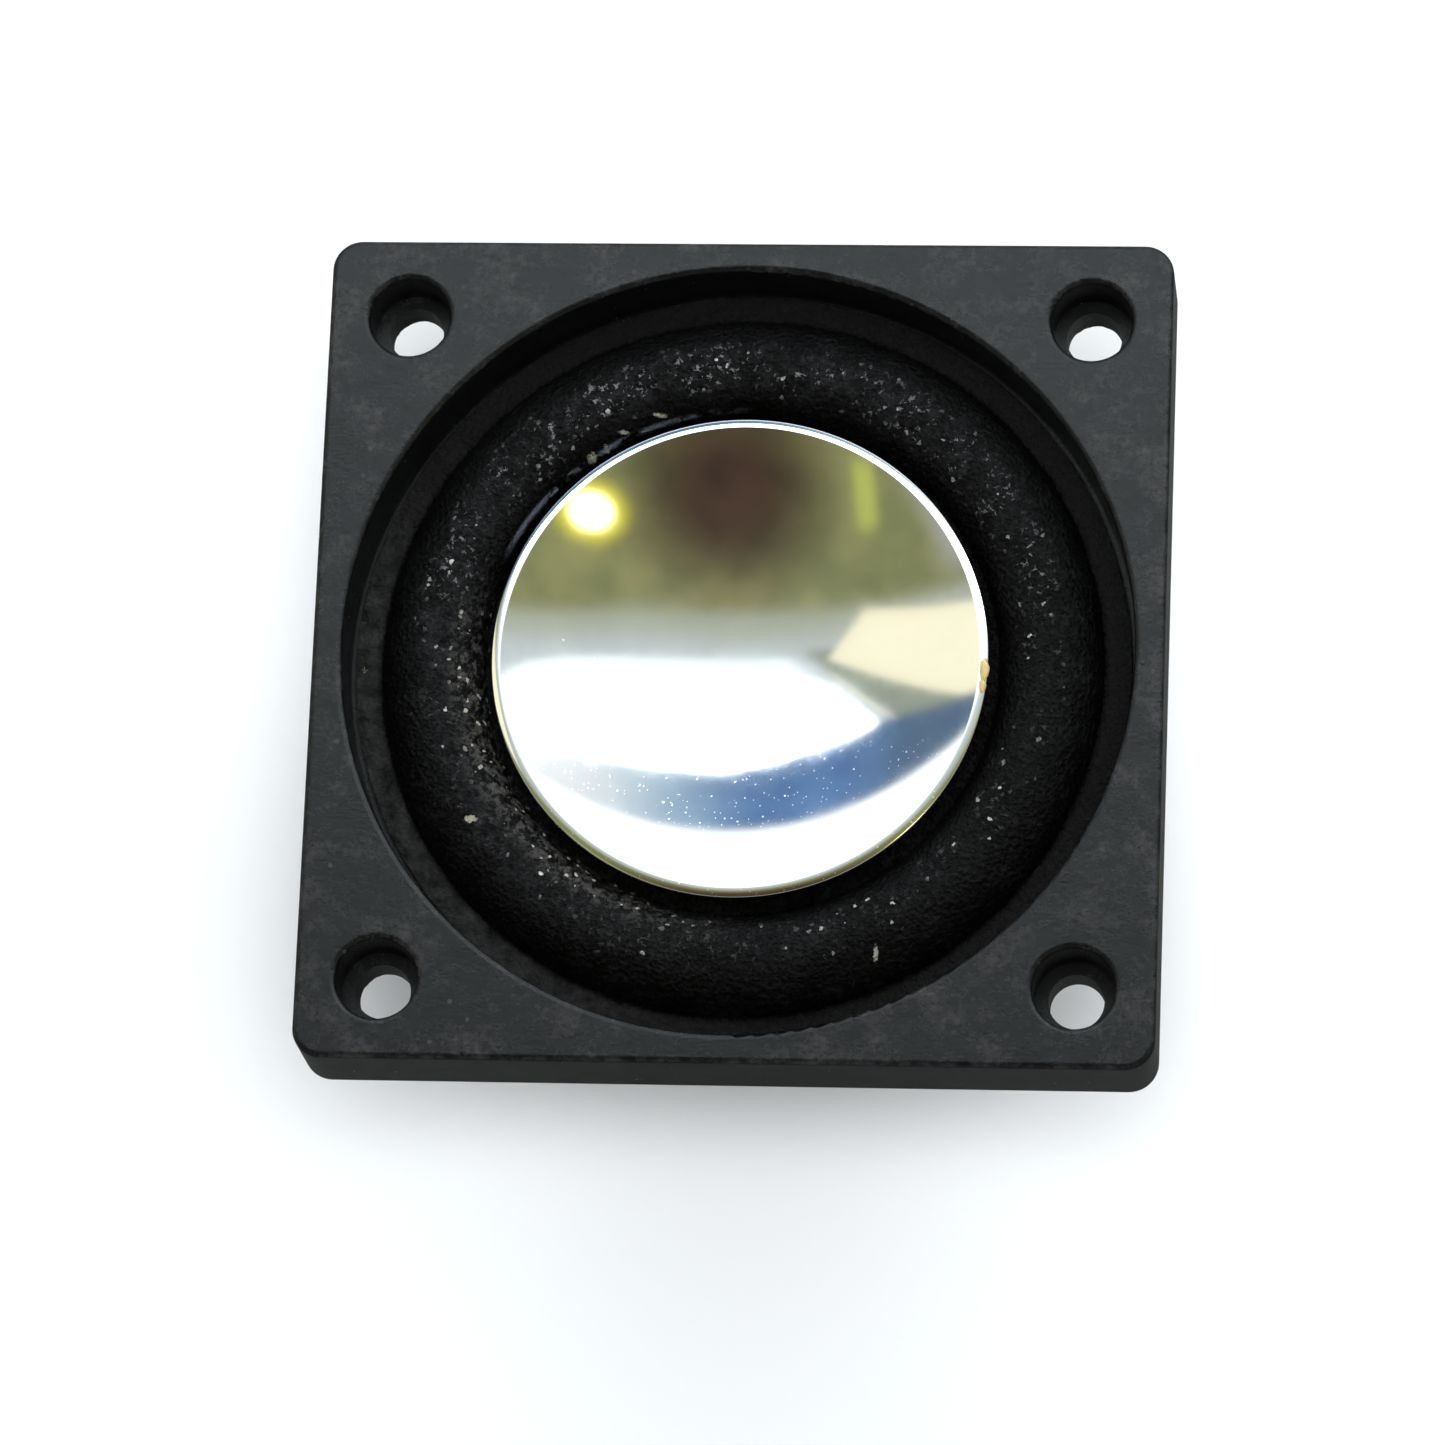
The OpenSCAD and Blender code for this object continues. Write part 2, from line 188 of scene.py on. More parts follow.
def revolve(name, outline, segments, shift=None):
    """A closed outline of (radius, height) points turned about Z. An outline that starts and ends on the axis
    makes a solid with two poles. shift(points, normals) may move the points before the mesh is made."""
    outline = np.array(outline, float)
    on_axis = outline[0, 0] < 1e-6 and outline[-1, 0] < 1e-6
    rings = outline[1:-1] if on_axis else outline
    turn = np.linspace(0, 2 * math.pi, segments, endpoint=False)
    points = spun(rings[:, 0], rings[:, 1], turn)
    if shift is not None:
        along = np.roll(rings, -1, 0) - np.roll(rings, 1, 0)
        if on_axis:
            along[0] = rings[1] - rings[0]
            along[-1] = rings[-1] - rings[-2]
        along /= np.maximum(np.linalg.norm(along, axis=1), 1e-9)[:, None]
        points = shift(points, spun(along[:, 1], -along[:, 0], turn))
    points = points.reshape(-1, 3)
    count = len(rings)
    faces = []
    for i in range(count - 1 if on_axis else count):
        a, b = i * segments, (i + 1) % count * segments
        for k in range(segments):
            m = (k + 1) % segments
            faces.append((a + k, a + m, b + m, b + k))
    if on_axis:
        first, last = len(points), len(points) + 1
        points = np.vstack([points, [0, 0, outline[0, 1]], [0, 0, outline[-1, 1]]])
        end = (count - 1) * segments
        for k in range(segments):
            m = (k + 1) % segments
            faces.append((first, m, k))
            faces.append((last, end + k, end + m))
    return outward(mesh_object(name, points, faces))


def outward(obj):
    """Turns a closed mesh's faces outwards."""
    mesh = obj.data
    mesh.calc_loop_triangles()
    points = np.array([v.co for v in mesh.vertices])
    tris = np.array([t.vertices for t in mesh.loop_triangles])
    a, b, c = points[tris[:, 0]], points[tris[:, 1]], points[tris[:, 2]]
    if np.einsum("ij,ij->i", a, np.cross(b, c)).sum() < 0:
        mesh.flip_normals()
    return obj


def sharpen(obj, degrees=30):
    """Keeps edges steeper than that sharp and the rest smooth."""
    obj.data.set_sharp_from_angle(angle=math.radians(degrees))
    return obj


def evaluated(obj):
    """The mesh that an object's curve or modifiers make."""
    bpy.context.view_layer.update()
    return bpy.data.meshes.new_from_object(obj.evaluated_get(bpy.context.evaluated_depsgraph_get()))


def remesh(obj, voxel_mm):
    """Even quads of about that size."""
    modifier = obj.modifiers.new("remesh", "REMESH")
    modifier.mode = "VOXEL"
    modifier.voxel_size = voxel_mm * MM
    modifier.use_smooth_shade = True
    mesh = evaluated(obj)
    obj.modifiers.clear()
    obj.data = mesh
    return obj


def moved(obj, x=0.0, y=0.0, z=0.0):
    """Shifts the mesh itself, in millimetres."""
    obj.data.transform(Matrix.Translation(Vector((x, y, z)) * MM))
    return obj


def joined(name, parts):
    """One mesh object from several."""
    both = bmesh.new()
    for part in parts:
        both.from_mesh(part.data)
        bpy.data.objects.remove(part)
    mesh = bpy.data.meshes.new(name)
    both.to_mesh(mesh)
    both.free()
    return shown(name, mesh)


def plate(name, loops, low, high, bevel):
    """A flat plate with rounded edges between two heights: the first loop is its outline, the others its
    holes, each a list of (x, y) points."""
    curve = bpy.data.curves.new(name, "CURVE")
    curve.dimensions = "2D"
    curve.fill_mode = "BOTH"
    curve.extrude = ((high - low) / 2 - bevel) * MM
    curve.bevel_depth = bevel * MM
    curve.bevel_resolution = 2
    curve.offset = -bevel * MM
    for loop in loops:
        spline = curve.splines.new("POLY")
        spline.points.add(len(loop) - 1)
        for point, (x, y) in zip(spline.points, loop):
            point.co = (x * MM, y * MM, 0, 1)
        spline.use_cyclic_u = True
    shape = shown(name, curve)
    mesh = evaluated(shape)
    bpy.data.objects.remove(shape)
    work = bmesh.new()
    work.from_mesh(mesh)
    bmesh.ops.remove_doubles(work, verts=work.verts, dist=1e-7)
    bmesh.ops.recalc_face_normals(work, faces=work.faces)
    work.to_mesh(mesh)
    work.free()
    return sharpen(moved(shown(name, smoothed(mesh)), z=(low + high) / 2))


def ring(x, y, radius, steps=48):
    """A round loop of points."""
    turns = np.linspace(0, 2 * math.pi, steps, endpoint=False)
    return [(x + radius * math.cos(t), y + radius * math.sin(t)) for t in turns]


def roughen(obj, scale, depth, octaves=3, offset=0.0):
    """Moves each point along its normal by smooth noise: scale per millimetre, depth in millimetres."""
    mesh = obj.data
    points = [v.co.copy() for v in mesh.vertices]
    normals = [v.normal.copy() for v in mesh.vertices]
    for vertex, point, normal in zip(mesh.vertices, points, normals):
        at = point * (scale / MM) + Vector((offset, SEED, 0))
        vertex.co = point + normal * (depth * MM * noise.fractal(at, 0.6, 2.1, octaves))
    mesh.update()
    return obj


# ---- material helpers


class Nodes:
    """Short ways to build the node tree of a material or world."""

    def __init__(self, owner, blank=True):
        owner.use_nodes = True
        self.tree = owner.node_tree
        if blank:
            self.tree.nodes.clear()

    def add(self, kind, **settings):
        node = self.tree.nodes.new("ShaderNode" + kind)
        for key, value in settings.items():
            setattr(node, key, value)
        return node

    def join(self, source, target):
        self.tree.links.new(source, target)

    def put(self, target, value):
        """Links a socket, or sets a plain value."""
        if isinstance(value, bpy.types.NodeSocket):
            self.join(value, target)
        else:
            target.default_value = value

    def math(self, operation, a, b=0.0):
        node = self.add("Math", operation=operation)
        self.put(node.inputs[0], a)
        self.put(node.inputs[1], b)
        return node.outputs[0]

    def times(self, *values):
        return functools.reduce(lambda a, b: self.math("MULTIPLY", a, b), values)

    def plus(self, *values):
        return functools.reduce(lambda a, b: self.math("ADD", a, b), values)

    def minus(self, a, b):
        return self.math("SUBTRACT", a, b)

    def length(self, a, b):
        """The square root of a squared plus b squared."""
        return self.math("SQRT", self.plus(self.times(a, a), self.times(b, b)))

    def texture(self, kind, vector, settings=None, **values):
        """A texture node's outputs; the settings are for the node itself, the values for its sockets."""
        node = self.add("Tex" + kind, **(settings or {}))
        self.join(vector, node.inputs["Vector"])
        for socket, value in values.items():
            node.inputs[socket].default_value = value
        return node.outputs

    def split(self, vector):
        """A vector's x, y and z."""
        node = self.add("SeparateXYZ")
        self.join(vector, node.inputs[0])
        return node.outputs

    def object_mm(self):
        """The object's own coordinates in millimetres."""
        scale = self.add("Mapping")
        scale.inputs["Scale"].default_value = (1 / MM,) * 3
        self.join(self.add("TexCoord").outputs["Object"], scale.inputs["Vector"])
        return scale.outputs["Vector"]

    def step(self, value, start, stop):
        """0 before start, 1 after stop, smooth between; start may be the larger one."""
        node = self.add("MapRange", interpolation_type="SMOOTHSTEP")
        low, high = (0.0, 1.0) if start < stop else (1.0, 0.0)
        for socket, number in zip(node.inputs[1:5], (min(start, stop), max(start, stop), low, high)):
            socket.default_value = number
        self.put(node.inputs[0], value)
        return node.outputs[0]

    def between(self, value, low, high, soft):
        """1 between low and high, with soft edges of that width."""
        rise = self.step(value, low - soft / 2, low + soft / 2)
        fall = self.step(value, high + soft / 2, high - soft / 2)
        return self.times(rise, fall)

    def mix(self, factor, a, b, blend="MIX"):
        node = self.add("Mix", data_type="RGBA", blend_type=blend)
        self.put(node.inputs["Factor"], factor)
        for socket, value in ((node.inputs[6], a), (node.inputs[7], b)):
            self.put(socket, value if isinstance(value, bpy.types.NodeSocket) else (*value, 1))
        return node.outputs[2]


class Shader(Nodes):
    """A Principled material built up from procedural textures. Texture scales are per millimetre."""

    def __init__(self, name, **sockets):
        self.material = bpy.data.materials.new(name)
        super().__init__(self.material, blank=False)
        self.bsdf = next(n for n in self.tree.nodes if n.type == "BSDF_PRINCIPLED")
        for socket, value in sockets.items():
            self.bsdf.inputs[socket.replace("_", " ")].default_value = value
        self.mm = self.object_mm()

    def axis(self, name):
        """One coordinate in millimetres: X, Y or Z."""
        return self.split(self.mm)[name]

    def radius(self):
        """Distance from the part's axis in millimetres."""
        return self.length(self.axis("X"), self.axis("Y"))

    def stretched(self, scale):
        """The millimetre coordinates, scaled unevenly."""
        node = self.add("Mapping")
        node.inputs["Scale"].default_value = scale
        self.join(self.mm, node.inputs["Vector"])
        return node.outputs["Vector"]

    def noise(self, scale, detail=3.0, roughness=0.55, vector=None, distortion=0.0):
        values = {"Scale": scale, "Detail": detail, "Roughness": roughness, "Distortion": distortion}
        return self.texture("Noise", vector or self.mm, **values)["Fac"]

    def cells(self, scale, output="Distance", vector=None):
        return self.texture("Voronoi", vector or self.mm, Scale=scale)[output]

    def ramp(self, factor, *stops):
        """A colour ramp; each stop is (position, grey value or colour)."""
        node = self.add("ValToRGB")
        self.join(factor, node.inputs["Fac"])
        elements = node.color_ramp.elements
        while len(elements) < len(stops):
            elements.new(1.0)
        for element, (position, value) in zip(elements, stops):
            element.position = position
            element.color = (value, value, value, 1) if np.isscalar(value) else (*value, 1)
        return node.outputs["Color"]

    def fade(self, factor, low, high):
        """A colour ramp over the middle of a noise's range."""
        return self.ramp(factor, (0.3, low), (0.7, high))

    def specks(self, scale, share, size, vector=None):
        """1 on a few small round spots, 0 elsewhere: share of the cells have one, of that radius in cells."""
        chosen = self.math("LESS_THAN", self.red(self.cells(scale, "Color", vector=vector)), share)
        near = self.math("LESS_THAN", self.cells(scale, vector=vector), size)
        return self.times(chosen, near)

    def red(self, color):
        node = self.add("SeparateColor")
        self.join(color, node.inputs[0])
        return node.outputs[0]

    def bump(self, height, depth_mm, normal=None, strength=1.0):
        node = self.add("Bump")
        node.inputs["Strength"].default_value = strength
        node.inputs["Distance"].default_value = depth_mm * MM
        self.join(height, node.inputs["Height"])
        if normal is not None:
            self.join(normal, node.inputs["Normal"])
        return node.outputs["Normal"]

    def finish(self, color, roughness=None, normal=None):
        for socket, value in (("Base Color", color), ("Roughness", roughness), ("Normal", normal)):
            if value is not None:
                self.join(value, self.bsdf.inputs[socket])
        return self.material


def dress(obj, material):
    """Gives a piece its material."""
    obj.data.materials.clear()
    obj.data.materials.append(material)
    return obj


# ---- camera, studio and floor

CAMERA_PLACE = (40.15, -119.15, 417.77)
CAMERA_TARGET = (-0.55, -3.96, FRONT_Z)
CAMERA_ROLL = 18.0
CAMERA_LENS = 207


def make_camera():
    """Looks down on the front from about 17 degrees off its axis."""
    data = bpy.data.cameras.new("camera")
    data.lens = CAMERA_LENS
    data.sensor_width = 36
    data.clip_start = 0.01
    data.clip_end = 20
    camera = shown("camera", data)
    eye = Vector(CAMERA_PLACE)
    track = (Vector(CAMERA_TARGET) - eye).to_track_quat("-Z", "Y")
    camera.rotation_mode = "QUATERNION"
    camera.rotation_quaternion = track @ Quaternion((0, 0, 1), math.radians(-CAMERA_ROLL))
    camera.location = eye * MM
    bpy.context.scene.camera = camera
    bpy.context.scene.view_settings.view_transform = "Standard"


SOFTBOX_HEIGHT = 200
SOFTBOX_X = (-300, 420)
SOFTBOX_Y = (20, 420)
SOFTBOX_NEAR = 42
SOFTBOX_FAR = 197
SOFTBOX_GLOW = 5.5
SOFTBOX_DIM = 1.18


def softbox_material():
    """A glow that is brighter away from the near edge, and clear outside the panel's curved outline."""
    material = bpy.data.materials.new("softbox")
    g = Nodes(material)
    x, y, _ = g.split(g.object_mm())
    right = g.math("MAXIMUM", x, 0)
    curve = g.times(right, right)
    from_near = g.minus(g.minus(y, SOFTBOX_NEAR), g.times(curve, 0.00086))
    to_far = g.plus(g.minus(SOFTBOX_FAR, y), g.times(curve, 0.0012))
    to_far = g.minus(to_far, g.times(g.step(x, 30, -150), 29))
    from_west = g.times(g.plus(y, g.times(x, 0.876), 7), 0.75)
    shape = g.times(g.step(from_near, -5, 5), g.step(to_far, -5, 5), g.step(from_west, -13, 6))
    glow = g.add("Emission")
    glow.inputs["Color"].default_value = (0.92, 1, 1.03, 1)
    key = g.times(g.step(from_near, 20, 76), SOFTBOX_GLOW - SOFTBOX_DIM)
    g.join(g.plus(key, SOFTBOX_DIM), glow.inputs["Strength"])
    outlined = g.add("MixShader")
    g.join(shape, outlined.inputs["Fac"])
    g.join(g.add("BsdfTransparent").outputs[0], outlined.inputs[1])
    g.join(glow.outputs[0], outlined.inputs[2])
    g.join(outlined.outputs[0], g.add("OutputMaterial").inputs["Surface"])
    return material


def make_softbox():
    """The key light: a wide white panel over the far side. Neither the camera nor matt surfaces see it."""
    (west, east), (south, north) = SOFTBOX_X, SOFTBOX_Y
    z = FRONT_Z + SOFTBOX_HEIGHT
    corners = [(west, south, z), (east, south, z), (east, north, z), (west, north, z)]
    panel = mesh_object("softbox", corners, [range(4)], False)
    panel.data.materials.append(softbox_material())
    panel.visible_camera = False
    panel.visible_diffuse = False


def dim_room(w, east, north):
    """The room behind the camera: olive walls, darkest in the middle, with some unevenness."""
    room = w.mix(w.step(north, -45, 0), (0.1, 0.105, 0.045), (0.24, 0.26, 0.125))
    sides = w.step(w.math("ABSOLUTE", east), 12, 40)
    room = w.mix(sides, room, (0.2, 0.22, 0.1))
    from_middle = w.length(east, w.plus(north, 34))
    room = w.mix(w.times(w.step(from_middle, 40, 8), 0.9), room, (0.044, 0.0235, 0.021))
    direction = w.add("TexCoord").outputs["Generated"]
    drift = w.step(w.texture("Noise", direction, Scale=5, Detail=3)["Fac"], 0.3, 0.7)
    return w.mix(drift, room, (1.45, 1.35, 1.3), "MULTIPLY"), drift


def haze_and_card(w, sky, east, north):
    """The grey haze under the softbox, the grey wall west of it with a bright streak, and the cream card."""
    lift = w.times(w.math("MAXIMUM", w.minus(east, 25), 0), 0.2)
    depth = w.minus(north, lift)
    sky = w.mix(w.step(depth, -5, 3), sky, (0.44, 0.48, 0.4))
    sky = w.mix(w.step(depth, 2, 11), sky, (0.56, 0.63, 0.64))
    slant = w.plus(north, w.times(east, 0.88))
    wall = w.times(w.step(slant, -7, -10), w.step(north, 8, 11))
    sky = w.mix(wall, sky, (0.3, 0.35, 0.28))
    streak = w.times(w.between(slant, -9.3, -7.7, 1.4), w.between(east, -50, -29, 5))
    sky = w.mix(streak, sky, (0.95, 0.94, 0.82))
    card = w.times(
        w.step(w.plus(north, w.times(east, 0.48)), 0.2, -1.8),
        w.step(w.minus(north, w.times(east, 1.23)), 44, 48),
        w.step(w.plus(north, w.times(east, 0.158)), -7.5, -5.5),
    )
    return w.mix(card, sky, (1.06, 1.02, 0.76))


def blue_strip(w, sky, east, north, drift):
    """The strip beyond the softbox, deep blue in the west and fading out in the east, and white past it."""
    along = w.plus(north, w.times(east, east, 0.0045))
    blue = w.mix(drift, (0.07, 0.16, 0.36), (0.12, 0.25, 0.49))
    blue = w.mix(w.step(east, -30, -55), blue, (0.1, 0.165, 0.26))
    strip = w.mix(w.step(east, -14, 24), blue, (0.42, 0.58, 0.7))
    strip = w.mix(w.step(east, 8, 40), strip, (0.84, 0.9, 0.93))
    strip = w.mix(w.step(east, 30, 52), strip, (1.0, 1.04, 1.05))
    inside = w.times(w.between(along, 40, 63.5, 4), w.step(north, 30, 34))
    sky = w.mix(inside, sky, strip)
    return w.mix(w.step(along, 62.5, 66), sky, (1.4, 1.47, 1.5))


def room_lights(w, sky, east, north):
    """The lamp with its yellow halo, and a narrow yellow light."""
    lamp_east = w.minus(east, 39.5)
    lamp_north = w.times(w.plus(north, 26.6), math.sqrt(1.5))
    lamp = w.length(lamp_east, lamp_north)
    sky = w.mix(w.step(lamp, 14, 6), sky, (0.82, 0.74, 0.02))
    sky = w.mix(w.step(lamp, 8, 5.5), sky, (3.4, 3.2, 1.5))
    tube = w.times(w.between(east, -43, -37, 4), w.between(north, -41, -22, 7))
    return w.mix(tube, sky, (0.5, 0.55, 0.13))


def plain_light(w, away, facing_east, facing_north, east, north):
    """Soft light for matt surfaces: mostly overhead, some from the right and from low on the far side."""
    right = w.times(w.step(facing_east, 0.2, 0.8), w.between(away, 28, 58, 14))
    plain = w.mix(right, (0.02, 0.022, 0.024), (1.3, 1.34, 1.36))
    far = w.times(w.step(facing_north, 0.4, 0.85), w.step(away, 45, 62))
    plain = w.mix(far, plain, (5.4, 5.55, 5.65))
    overhead = w.length(w.minus(east, 5.5), w.plus(north, 11.2))
    return w.mix(w.step(overhead, 22, 9.8), plain, (9.8, 10, 10.2))


def make_studio():
    """What the polished parts mirror, told by direction in degrees from straight up, towards +X (east) and +Y
    (north). Matt parts get plain soft light instead, and the camera sees white."""
    world = bpy.data.worlds.new("studio")
    bpy.context.scene.world = world
    w = Nodes(world)
    x, y, z = w.split(w.add("TexCoord").outputs["Generated"])
    away = w.times(w.math("ARCCOSINE", z), 180 / math.pi)
    flat = w.math("MAXIMUM", w.length(x, y), 1e-4)
    facing_east, facing_north = w.math("DIVIDE", x, flat), w.math("DIVIDE", y, flat)
    east, north = w.times(away, facing_east), w.times(away, facing_north)

    sky, drift = dim_room(w, east, north)
    sky = haze_and_card(w, sky, east, north)
    sky = blue_strip(w, sky, east, north, drift)
    sky = room_lights(w, sky, east, north)
    low_down = w.times(w.step(away, 58, 70), w.step(north, 0, -14))
    sky = w.mix(low_down, sky, (0.42, 0.43, 0.44))
    sky = w.mix(w.step(z, 0.02, -0.02), sky, (0.5, 0.52, 0.53))
    plain = plain_light(w, away, facing_east, facing_north, east, north)
    ray = w.add("LightPath").outputs
    sky = w.mix(ray["Is Diffuse Ray"], sky, plain)
    sky = w.mix(ray["Is Camera Ray"], sky, (1, 1, 1))
    background = w.add("Background")
    w.join(sky, background.inputs["Color"])
    w.join(background.outputs[0], w.add("OutputWorld").inputs["Surface"])


FLOOR_HALF = 1.5


def make_floor():
    """A plain white sheet under the object. It mirrors as grey, so that glossy sides keep their tone."""
    size = FLOOR_HALF / MM
    corners = [(x * size, y * size, -0.02) for x, y in ((-1, -1), (1, -1), (1, 1), (-1, 1))]
    floor = mesh_object("floor", corners, [range(4)], False)
    s = Shader("white_sheet", Roughness=0.9, Specular_IOR_Level=0.2)
    tint = s.fade(s.noise(0.02, 2), (0.88, 0.9, 0.91), (0.92, 0.93, 0.94))
    mirrored = s.add("LightPath").outputs["Is Glossy Ray"]
    floor.data.materials.append(s.finish(s.mix(mirrored, tint, (0.1, 0.105, 0.1))))


make_camera()
make_softbox()
make_studio()
make_floor()

# ---- materials


def black_plastic():
    """Glass-filled black plastic: fine moulded grain, clouding, and paler handled edges."""
    s = Shader("black_plastic", Specular_IOR_Level=0.26)
    cloud = s.noise(0.35, 6, 0.75)
    color = s.ramp(
        cloud, (0.3, (0.001, 0.0015, 0.002)), (0.5, (0.0035, 0.004, 0.005)), (0.66, (0.016, 0.0155, 0.0165))
    )
    fine = s.ramp(s.noise(2.6, 5, 0.8), (0.36, 0.2), (0.64, 2.3))
    color = s.mix(1.0, color, fine, "MULTIPLY")
    color = s.mix(s.times(s.specks(1.1, 0.05, 0.14), 0.5), color, (0.05, 0.05, 0.046))
    square = s.math("MAXIMUM", s.math("ABSOLUTE", s.axis("X")), s.math("ABSOLUTE", s.axis("Y")))
    at_front = s.step(s.axis("Z"), FRONT_Z - 0.35, FRONT_Z - 0.05)
    color = s.mix(s.times(s.minus(1, at_front), 0.6), color, (0.0045, 0.0048, 0.0055))
    edge = s.times(s.step(square, HALF_W - 0.35, HALF_W), at_front)
    scuffed = s.times(edge, s.step(s.noise(0.8, 5, 0.7), 0.45, 0.65))
    color = s.mix(s.times(scuffed, 0.5), color, (0.05, 0.05, 0.048))
    rough = s.ramp(s.noise(0.9, 6, 0.8), (0.32, 0.07), (0.5, 0.14), (0.68, 0.28))
    grain = s.bump(s.noise(6, 4, 0.8), 0.03)
    flow = s.bump(s.noise(0.45, 4, 0.6), 0.06, grain, 0.7)
    scratch = s.noise(1, 4, 0.6, vector=s.stretched((0.5, 9, 0.5)))
    normal = s.bump(s.step(scratch, 0.66, 0.7), 0.006, flow, 0.6)
    return s.finish(color, rough, normal)


# pale flecks of dried glue and fibre on the roll: place and half size in x and y
FLECKS = [
    (-8.0, 10.7, 0.3, 0.35), (-7.3, 11.2, 0.16, 0.25), (-6.4, 12.0, 0.3, 0.12), (-13.2, -8.8, 0.38, 0.2),
    (7.4, -15.4, 0.14, 0.55), (-19.3, -0.4, 0.2, 0.25), (-4.6, 12.9, 0.4, 0.1),
]


def foam_base(name):
    """Open-cell foam: its pores are painted darker as shade and the thin skins between them painted paler as
    caught light. Gives the shader, its colour, the pore pattern and the warped coordinates."""
    s = Shader(name, Specular_IOR_Level=0.09)
    bent = s.add("VectorMath", operation="MULTIPLY_ADD")
    s.join(s.texture("Noise", s.mm, Scale=3.5)["Color"], bent.inputs[0])
    bent.inputs[1].default_value = (0.35, 0.35, 0.35)
    s.join(s.mm, bent.inputs[2])
    bent = bent.outputs[0]
    pores = s.cells(4.2, vector=bent)
    # painted shade and light: each pore is painted darker towards its middle, and the skins between pores
    # paler
    color = s.ramp(
        pores,
        (0.0, (0.0003, 0.0003, 0.0004)), (0.4, (0.0011, 0.0011, 0.0013)), (0.85, (0.0048, 0.0048, 0.005)),
    )
    cloud = s.ramp(s.noise(0.5, 4, 0.65), (0.35, 0.3), (0.7, 1.5))
    return s, s.mix(1.0, color, cloud, "MULTIPLY"), pores, bent


def foam_finish(s, color, pores):
    rough = s.ramp(s.noise(6, 2), (0.35, 0.3), (0.65, 0.7))
    coarse = s.bump(pores, 0.11)
    return s.finish(color, rough, s.bump(s.noise(9, 3, 0.8), 0.05, coarse))


def gasket_foam():
    """Plain die-cut foam, slightly dusty."""
    s, color, pores, bent = foam_base("gasket_foam")
    color = s.mix(s.times(s.specks(2.4, 0.3, 0.35, bent), 0.7), color, (0.02, 0.021, 0.021))
    return foam_finish(s, color, pores)


def crown_dust_and_painted_glints(s, color, bent, radius):
    """Torn skins and dust on the roll's crown, with a painted sheen and painted glints there: the crown is
    painted as the lit part of the roll, brighter towards the far left and most of all on the far side.
    """
    x, y = s.axis("X"), s.axis("Y")
    # painted highlight: the crown band is painted lighter, as the part of the roll that catches the light
    crown = s.times(s.step(radius, 13.6, 14.8), s.step(radius, 17.0, 15.8))
    patches = s.step(s.noise(0.55, 3, 0.6), 0.4, 0.62)
    # painted light: the sheen is painted stronger towards the far left, the side the light falls on
    painted_lit_side = s.plus(0.2, s.times(s.step(s.minus(y, x), -14, 8), 0.6))
    # dusty: dust together with a painted grey sheen on the crown
    dusty = s.times(s.step(s.noise(1.4, 5, 0.75, bent), 0.42, 0.68), crown, painted_lit_side)
    color = s.mix(dusty, color, (0.015, 0.016, 0.0175))
    # painted light: torn skins and glints are painted stronger on the far side, towards the light
    far = s.plus(0.25, s.step(y, -2, 7))
    torn_skins_and_painted_glints = s.times(s.step(s.noise(2.7, 3, 0.75, bent), 0.57, 0.65), crown, patches, far)
    color = s.mix(s.math("MINIMUM", torn_skins_and_painted_glints, 1), color, (0.15, 0.15, 0.155))
    # painted glints: pale specks on the crown stand in for cell facets glinting in the light
    painted_glints = s.times(s.specks(1.7, 0.34, 0.19, bent), crown, patches)
    return s.mix(painted_glints, color, (0.4, 0.41, 0.39))


def pressed_rim(s, color, radius):
    """The flat rim: paler than the roll, partly the pressed foam's greyer tone and partly a painted
    reflection of the key light, except on the left, where it stays darker.
    """
    rim = s.step(radius, ROLL_OUT_R - 0.1, ROLL_OUT_R + 0.3)
    # worn: the pressed foam's tone together with a painted reflection of the key light, in patches
    worn = s.ramp(s.noise(1.1, 5, 0.75), (0.35, 0.004), (0.65, 0.034))
    darker_left_side = s.times(s.step(s.axis("X"), 4, -12), s.step(s.axis("Y"), 11, 3))
    worn = s.mix(darker_left_side, (0.008, 0.0075, 0.008), worn)
    return s.mix(s.times(rim, 0.85), color, worn)


def glue_and_painted_glints(s, color, bent, radius):
    """Crumbs and grit of glue on the roll's inner slope at the near left, their pale specks partly painted
    glints on a slope that faces the light, and a thin bluish line above it, a painted glint along the glue.
    """
    y = s.axis("Y")
    west = s.step(s.axis("X"), 2, -9)
    slope = s.times(s.step(radius, 12.9, 13.2), s.step(radius, 15.2, 14.0), west, s.step(y, 5, -1))
    crumbs = s.times(s.step(s.noise(2.1, 5, 0.75, bent), 0.47, 0.57), slope, 0.9)
    color = s.mix(crumbs, color, (0.055, 0.055, 0.05))
    # partly painted glints: the pale grit specks also stand in for light caught by this slope
    color = s.mix(s.times(s.specks(2.2, 0.28, 0.27, bent), slope), color, (0.32, 0.32, 0.27))
    for flake in FLECKS:
        color = s.mix(fleck(s, *flake), color, (0.3, 0.29, 0.22))
    # painted glint: a thin bluish line along the glue at the roll's inner foot, standing in for reflected
    # light
    line = s.times(s.between(radius, 13.3, 13.45, 0.12), s.step(y, 5, 7), west)
    line = s.times(line, s.step(s.noise(0.9, 3), 0.42, 0.55))
    return s.mix(line, color, (0.11, 0.125, 0.15))


def fleck(s, at_x, at_y, wide, tall):
    """1 on one ragged fleck that lies on the roll, 0 elsewhere."""
    at_r = min(math.hypot(at_x, at_y), ROLL_OUT_R)
    at_z = RIM_Z + math.sqrt(ROLL_R ** 2 - (at_r - ROLL_MID_R) ** 2)
    away = s.times(s.noise(5.5, 4, 0.8), 4.6)
    for axis, at, size in (("X", at_x, wide), ("Y", at_y, tall), ("Z", at_z, 0.5)):
        off = s.math("DIVIDE", s.minus(s.axis(axis), at), size)
        away = s.plus(away, s.times(off, off))
    return s.step(away, 3.2, 2.5)


